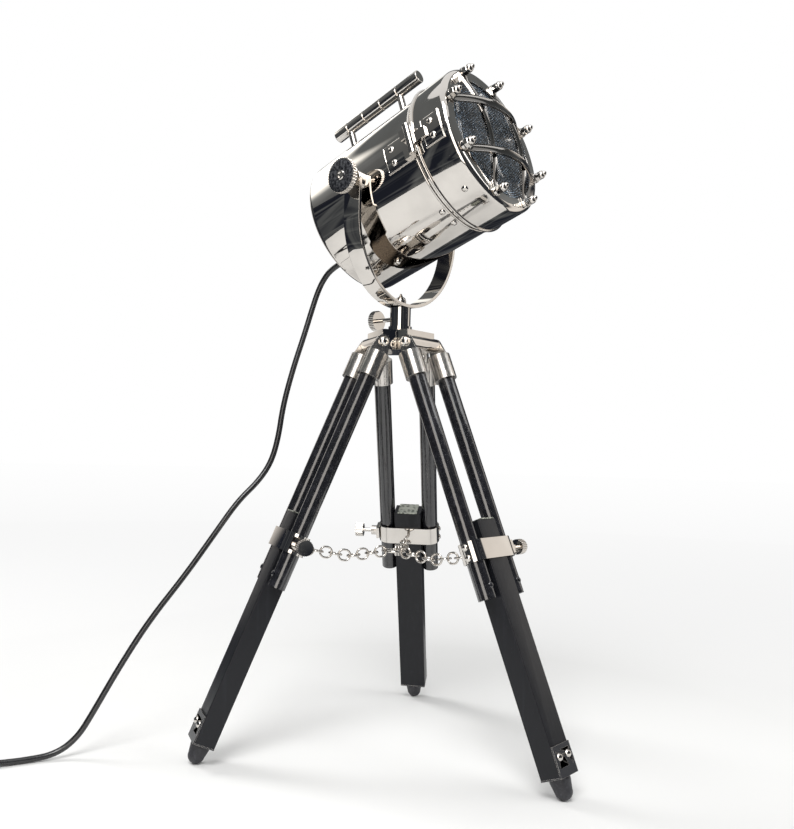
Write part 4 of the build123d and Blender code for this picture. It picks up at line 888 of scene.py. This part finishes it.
class DressLegs(bpy.types.Operator):
    """Finishes the three legs with their clamps, shoes, feet and chains"""

    bl_idname = "lamp.dress_legs"
    bl_label = "Legs"

    def execute(self, context):
        edge = context.scene.lamp_finish.edge
        nickel = polished_nickel("clamp_nickel", haze=0.09, scratch=0.008)
        ferrule = brushed_nickel("ferrule_nickel")
        chain = polished_nickel("chain_wire_nickel", haze=0.12, scratch=0.006)
        lacquer = black_lacquer("rod_lacquer")
        paint = bar_paint("bar_paint")
        plate = shoe_metal("shoe_plate")
        stop = stop_plate_painted_glare("stop_plate")
        rubber = black_rubber("foot_rubber")
        for leg in LEGS:
            for part, body, material, slot, width in (
                    ("ferrules", "leg", ferrule, "polished_nickel", edge),
                    ("dowels", "leg", lacquer, "black_lacquer", edge),
                    ("clamp", "leg", nickel, "polished_nickel", edge),
                    ("bar", "lower", paint, "black_bar_paint", edge),
                    ("foot", "lower", rubber, "black_rubber", 0),
                    ("clamp_screw", "clamp_screw", nickel, "polished_nickel", edge),
                    ("chain_inner", "chain_inner", chain, "chain_nickel", 0),
                    ("chain_outer", "chain_outer", chain, "chain_nickel", 0)):
                dress(f"{leg}_{part}", f"{leg}_{body}", material, slot, width)
            self.fit_shoe(leg, plate, nickel, stop, edge)
        return {"FINISHED"}

    @staticmethod
    def fit_shoe(leg, plate, nickel, stop, edge):
        """The shoe, its two screws and the stop plate, each in its own finish.

        The plate and the shoe are the two widest parts, and the plate is the upper one.
        """
        copy_solid(f"{leg}_bar_fittings", f"{leg}_fittings")
        bpy.ops.mesh.separate(type="LOOSE")
        down = leg_frame(leg).inverted()
        parts = list(bpy.context.selected_objects)
        for part in parts:
            ease_edges(part, edge)
            shade_smooth(part)
            true_curves(part, f"{leg}_bar_fittings")
        points = {part: [down @ vertex.co for vertex in part.data.vertices] for part in parts}
        spread = {part: max(p.x for p in places) - min(p.x for p in places)
                  for part, places in points.items()}
        parts.sort(key=spread.get)
        wide = sorted(parts[-2:], key=lambda part: points[part][0].z)
        screws = join_all(parts[:-2], f"{leg}_shoe_screws")
        finish(screws, f"{leg}_lower", nickel, "polished_nickel", f"{leg}_bar_fittings")
        for piece, name, material in zip(wide, ("stop_plate", "shoe"), (stop, plate)):
            piece.name = f"{leg}_{name}"
            finish(piece, f"{leg}_lower", material, "black_plate", f"{leg}_bar_fittings")


def coil_points(settings):
    """The put-away turns: inwards on the floor, then outwards on top of them."""
    last = Vector(CORD_ROUTE[-1])
    centre = COIL_CENTRE
    start = math.atan2(last.y - centre.y, last.x - centre.x)
    low_turns = settings.coil_turns * COIL_LOW_SHARE
    pitch = settings.diameter * COIL_SPACING
    points = []
    for step in range(1, int(settings.coil_turns * COIL_STEPS)):
        turn = step / COIL_STEPS
        inward = min(turn, 2 * low_turns - turn)
        radius = settings.coil_outer - pitch * inward
        climb = min(1, max(0, (turn - low_turns + COIL_CLIMB / 2) / COIL_CLIMB))
        height = settings.diameter / 2 + settings.diameter * climb * climb * (3 - 2 * climb)
        angle = start - 2 * math.pi * turn
        x = centre.x + radius * math.cos(angle)
        y = centre.y + radius * math.sin(angle)
        points.append((x, y, height))
    return points


def new_curve(name, kind, places):
    """A curve with one spline at these places, and the spline."""
    curve = bpy.data.curves.new(name, "CURVE")
    curve.dimensions = "3D"
    spline = curve.splines.new(kind)
    spline.points.add(len(places) - 1)
    for point, place in zip(spline.points, places):
        point.co = (*place, 1)
    return curve, spline


def spline_line(points):
    """The smooth line of a NURBS spline with these control points, as a list of points."""
    curve, spline = new_curve("route", "NURBS", points)
    spline.order_u = 3
    spline.use_endpoint_u = True
    spline.resolution_u = 6
    route = add_object("route", curve)
    bpy.context.view_layer.update()
    mesh = bpy.data.meshes.new_from_object(route)
    line = [vertex.co.copy() for vertex in mesh.vertices]
    bpy.data.objects.remove(route)
    return line


def cord_tube(name, line, diameter):
    """A round tube along a line."""
    curve, _ = new_curve(name, "POLY", line)
    curve.bevel_depth = diameter / 2
    curve.bevel_resolution = 4
    curve.use_fill_caps = True
    tube = add_object(name, curve)
    take(tube)
    bpy.ops.object.convert(target="MESH")
    tube = bpy.context.object
    bpy.ops.object.shade_smooth()
    return tube


def line_length(line):
    """The length along a list of points."""
    return sum((b - a).length for a, b in zip(line, line[1:]))


def coil_tie(settings):
    """A flat rubber strap round all turns of the coil at one place."""
    low_turns = COIL_SPACING * COIL_LOW_SHARE * settings.coil_turns
    inner = settings.coil_outer - settings.diameter * (low_turns + 0.5)
    outer = settings.coil_outer + settings.diameter / 2
    deselect()
    bpy.ops.mesh.primitive_cylinder_add(
        vertices=4, radius=math.sqrt(0.5), depth=1, end_fill_type="NOTHING",
        location=(0, 0, 0), rotation=(math.pi / 2, math.pi / 4, 0))
    tie = bpy.context.object
    tie.name = "coil_tie"
    bpy.ops.object.transform_apply(location=True, rotation=True, scale=True)
    tie.scale = (outer - inner, TIE_WIDTH, settings.diameter * 2)
    tie.location = ((inner + outer) / 2, 0, settings.diameter + TIE_THICKNESS)
    bpy.ops.object.transform_apply(location=True, rotation=False, scale=True)
    ease_edges(tie, settings.diameter * 0.45, segments=4)
    skin = tie.modifiers.new("Strap", "SOLIDIFY")
    skin.thickness = TIE_THICKNESS
    skin.offset = 1
    apply_modifiers(tie)
    ease_edges(tie, TIE_EASE, segments=1, angle=50)
    tidy_mesh(tie)
    shade_smooth(tie)
    settle(tie, Matrix.Translation(COIL_CENTRE) @ Matrix.Rotation(TIE_TURN, 4, "Z"))
    return finish(tie, "root", black_rubber("tie_rubber"), "black_rubber")


class RunCord(bpy.types.Operator):
    """Runs the cord from the gland down to the floor, into its coil and to its plug"""

    bl_idname = "lamp.run_cord"
    bl_label = "Cord"

    def execute(self, context):
        settings = context.scene.lamp_cord
        sheath = cord_sheath("cord_sheath")
        plastic = black_plastic("plug_plastic")
        beam = HEAD.to_3x3() @ Vector((0, 0, 1))
        leave = HEAD @ Vector(GLAND_END)
        points = [leave, leave - beam * GLAND_RUN, *CORD_ROUTE, *coil_points(settings), *TAIL_ROUTE]
        line = spline_line([tuple(point) for point in points])
        split = next(i for i, point in enumerate(line) if point.z < SPLIT_HEIGHT)
        upper, lower = line[:split + 1], line[split:]
        plug = dress("plug", "root", plastic, "black_plastic")
        switch = dress("cord_switch", "root", plastic, "black_plastic", SWITCH_EASE)
        glossy = black_plastic("rocker_plastic", roughness=0.2)
        rocker = dress("switch_rocker", "switch_rocker", glossy, "black_plastic")
        top = cord_tube("cord_upper", upper, settings.diameter)
        rest = cord_tube("cord_lower", lower, settings.diameter)
        for tube in (top, rest):
            tube.data.materials.append(sheath)
        tuple(upper[-1] + Vector((0, 0, 0.02)))
        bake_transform(top)
        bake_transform(rest)
        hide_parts("cord")
        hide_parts("cord", "cord_coil")
        above = line_length(upper)
        coil_tie(settings)
        print("cord length", round(line_length(line), 4))
        return {"FINISHED"}


def area_lamp(name, place, aim, size, power, mirrored):
    """A square soft lamp that faces a point."""
    deselect()
    bpy.ops.object.light_add(type="AREA", location=place)
    lamp = bpy.context.object
    lamp.name = name
    lamp.data.size = size
    lamp.data.energy = power
    lamp.rotation_euler = (Vector(aim) - Vector(place)).to_track_quat("-Z", "Y").to_euler()
    lamp.visible_glossy = mirrored


def floor_material(colour):
    """Pale floor that fades, for the camera alone, into the white backdrop."""
    made = Finish("pale_floor", rgba(colour), 0.7)
    settings = {"operation": "LENGTH"}
    away = made.node("ShaderNodeVectorMath", settings, made.point(), output="Value")
    far = 1 - (FLOOR_CLEAR / away.maths("MAXIMUM", away, FLOOR_CLEAR)) ** FLOOR_FADE
    seen = made.node("ShaderNodeLightPath", {}, output="Is Camera Ray")
    white = made.node("ShaderNodeEmission", {}, (1, 1, 1, 1), 1.0)
    surface = Value(made, made.surface.outputs[0])
    mixed = made.node("ShaderNodeMixShader", {}, far * seen, surface, white)
    made.feed(made.tree.nodes["Material Output"].inputs[0], mixed)
    return made.material


class Glow(Shader):
    """A material that only glows, for a wall that shows in polish."""

    def __init__(self, name):
        self.material = bpy.data.materials.new(name)
        self.material.use_nodes = True
        super().__init__(self.material.node_tree)
        self.tree.nodes.remove(self.tree.nodes["Principled BSDF"])

    def show(self, colour):
        glow = self.node("ShaderNodeEmission", {}, colour, 1.0)
        self.feed(self.tree.nodes["Material Output"].inputs[0], glow)
        return self.material


def room_material():
    """Grey walls with one narrow light panel, plain above, with a broad soft window."""
    made = Glow("studio_room")
    x, y, z = made.split(made.place())
    turn = made.about_z(x, y)
    walls = made.ramp_of(turn, ROOM_WALLS, (0.96, 0.99, 1.0))
    upper = made.mix(z.ramp(*ROOM_UPPER), walls, (0.15, 0.158, 0.16, 1))
    window = turn.band(*WINDOW_TURNS) * z.band(*WINDOW_HEIGHTS)
    return made.show(made.mix(window, upper, (2.8, 2.75, 2.6, 1)))


def card_material():
    """Charcoal cards with upright folds and three narrow light panels."""
    made = Glow("studio_cards")
    x, y, z = made.split(made.place())
    turn = made.about_z(x, y)
    one_way = {"noise_dimensions": "1D"}
    fold = made.node("ShaderNodeTexNoise", one_way, None, turn, 38.0, 3.0)
    level = made.node("ShaderNodeTexNoise", one_way, None, z, 11.0, 2.0)
    shade = made.mix(fold.ramp(0.45, 0.75) * 0.6 + level.ramp(0.5, 0.75) * 0.6,
                     (0.016, 0.019, 0.028, 1), (0.19, 0.20, 0.20, 1))
    panels = made.ramp_of(turn, CARD_PANELS, (1.0, 0.94, 0.87))
    upright = made.mix(z.ramp(*PANEL_FOOT), (0, 0, 0, 1), panels)
    return made.show(made.mix(1.0, shade, upright, "ADD"))


class BuildStage(bpy.types.Operator):
    """Builds the floor, the walls that polish mirrors, the soft lamps, the world and the camera"""

    bl_idname = "lamp.build_stage"
    bl_label = "Stage"

    def execute(self, context):
        stage = context.scene.lamp_stage
        deselect()
        bpy.ops.mesh.primitive_circle_add(
            vertices=96, radius=FLOOR_RADIUS, fill_type="NGON", location=(0, 0, 0))
        floor = context.object
        floor.name = "floor"
        floor.data.materials.append(floor_material(stage.floor))
        deselect()
        bpy.ops.mesh.primitive_cylinder_add(
            vertices=96, radius=ROOM_RADIUS, depth=ROOM_HEIGHT, end_fill_type="NOTHING",
            location=(0, 0, ROOM_MIDDLE))
        self.show_in_polish(context.object, "studio_room", room_material())
        deselect()
        bpy.ops.mesh.primitive_cylinder_add(
            vertices=4, radius=CARD_RADIUS, depth=CARD_HEIGHT, end_fill_type="NOTHING",
            location=CARD_MIDDLE, rotation=(0, 0, math.radians(45)))
        self.show_in_polish(context.object, "studio_cards", card_material())
        for name in LAMPS:
            area_lamp(name, *LAMPS[name])
        self.light_world(context.scene)
        deselect()
        bpy.ops.object.camera_add(location=stage.camera_place, rotation=stage.camera_turn)
        camera = context.object
        camera.data.lens = stage.lens
        camera.data.sensor_width = 36
        camera.data.shift_x, camera.data.shift_y = stage.shift
        context.scene.camera = camera
        context.scene.view_settings.view_transform = "Standard"
        return {"FINISHED"}

    @staticmethod
    def show_in_polish(card, name, material):
        """Names a wall and gives it a material that only polished surfaces see."""
        card.name = name
        card.data.materials.append(material)
        bpy.ops.object.transform_apply(location=True, rotation=True, scale=True)
        for sight in ("camera", "diffuse", "transmission", "shadow", "volume_scatter"):
            setattr(card, f"visible_{sight}", False)

    @staticmethod
    def light_world(scene):
        """White for the camera, glossy and transmitted rays, and a soft fill for the rest."""
        world = bpy.data.worlds.new("studio")
        world.use_nodes = True
        scene.world = world
        made = Shader(world.node_tree)
        path = made.tree.nodes.new("ShaderNodeLightPath")
        camera, glossy, through = (Value(made, path.outputs[name]) for name in (
            "Is Camera Ray", "Is Glossy Ray", "Is Transmission Ray"))
        seen = camera.maths("MAXIMUM", camera.maths("MAXIMUM", camera, glossy), through)
        background = made.tree.nodes["Background"]
        background.inputs["Color"].default_value = (1, 1, 1, 1)
        made.feed(background.inputs["Strength"], seen * (1 - SOFT_FILL) + SOFT_FILL)


class LampPanel(bpy.types.Panel):
    """Lists the lamp's operators"""

    bl_label = "Searchlight Lamp"
    bl_idname = "VIEW3D_PT_searchlight_lamp"
    bl_space_type = "VIEW_3D"
    bl_region_type = "UI"
    bl_category = "Lamp"

    def draw(self, context):
        for operator in OPERATORS:
            self.layout.operator(operator.bl_idname)
        for group in SETTINGS:
            settings = getattr(context.scene, group)
            box = self.layout.box()
            for name in settings.__annotations__:
                box.prop(settings, name)


OPERATORS = (BuildStage, RunCord, DressHead, DressFork, DressLegs)
SETTINGS = {"lamp_finish": LampFinish, "lamp_cord": LampCord, "lamp_stage": LampStage}


def register():
    for made in (*SETTINGS.values(), *OPERATORS, LampPanel):
        bpy.utils.register_class(made)
    for name, group in SETTINGS.items():
        setattr(bpy.types.Scene, name, bpy.props.PointerProperty(type=group))


def unregister():
    for name in SETTINGS:
        delattr(bpy.types.Scene, name)
    for made in (LampPanel, *reversed(OPERATORS), *SETTINGS.values()):
        bpy.utils.unregister_class(made)


def main():
    register()
    bpy.ops.lamp.build_stage()
    bpy.ops.lamp.run_cord()
    bpy.ops.lamp.dress_head()
    bpy.ops.lamp.dress_fork()
    bpy.ops.lamp.dress_legs()


if __name__ == "__main__":
    main()
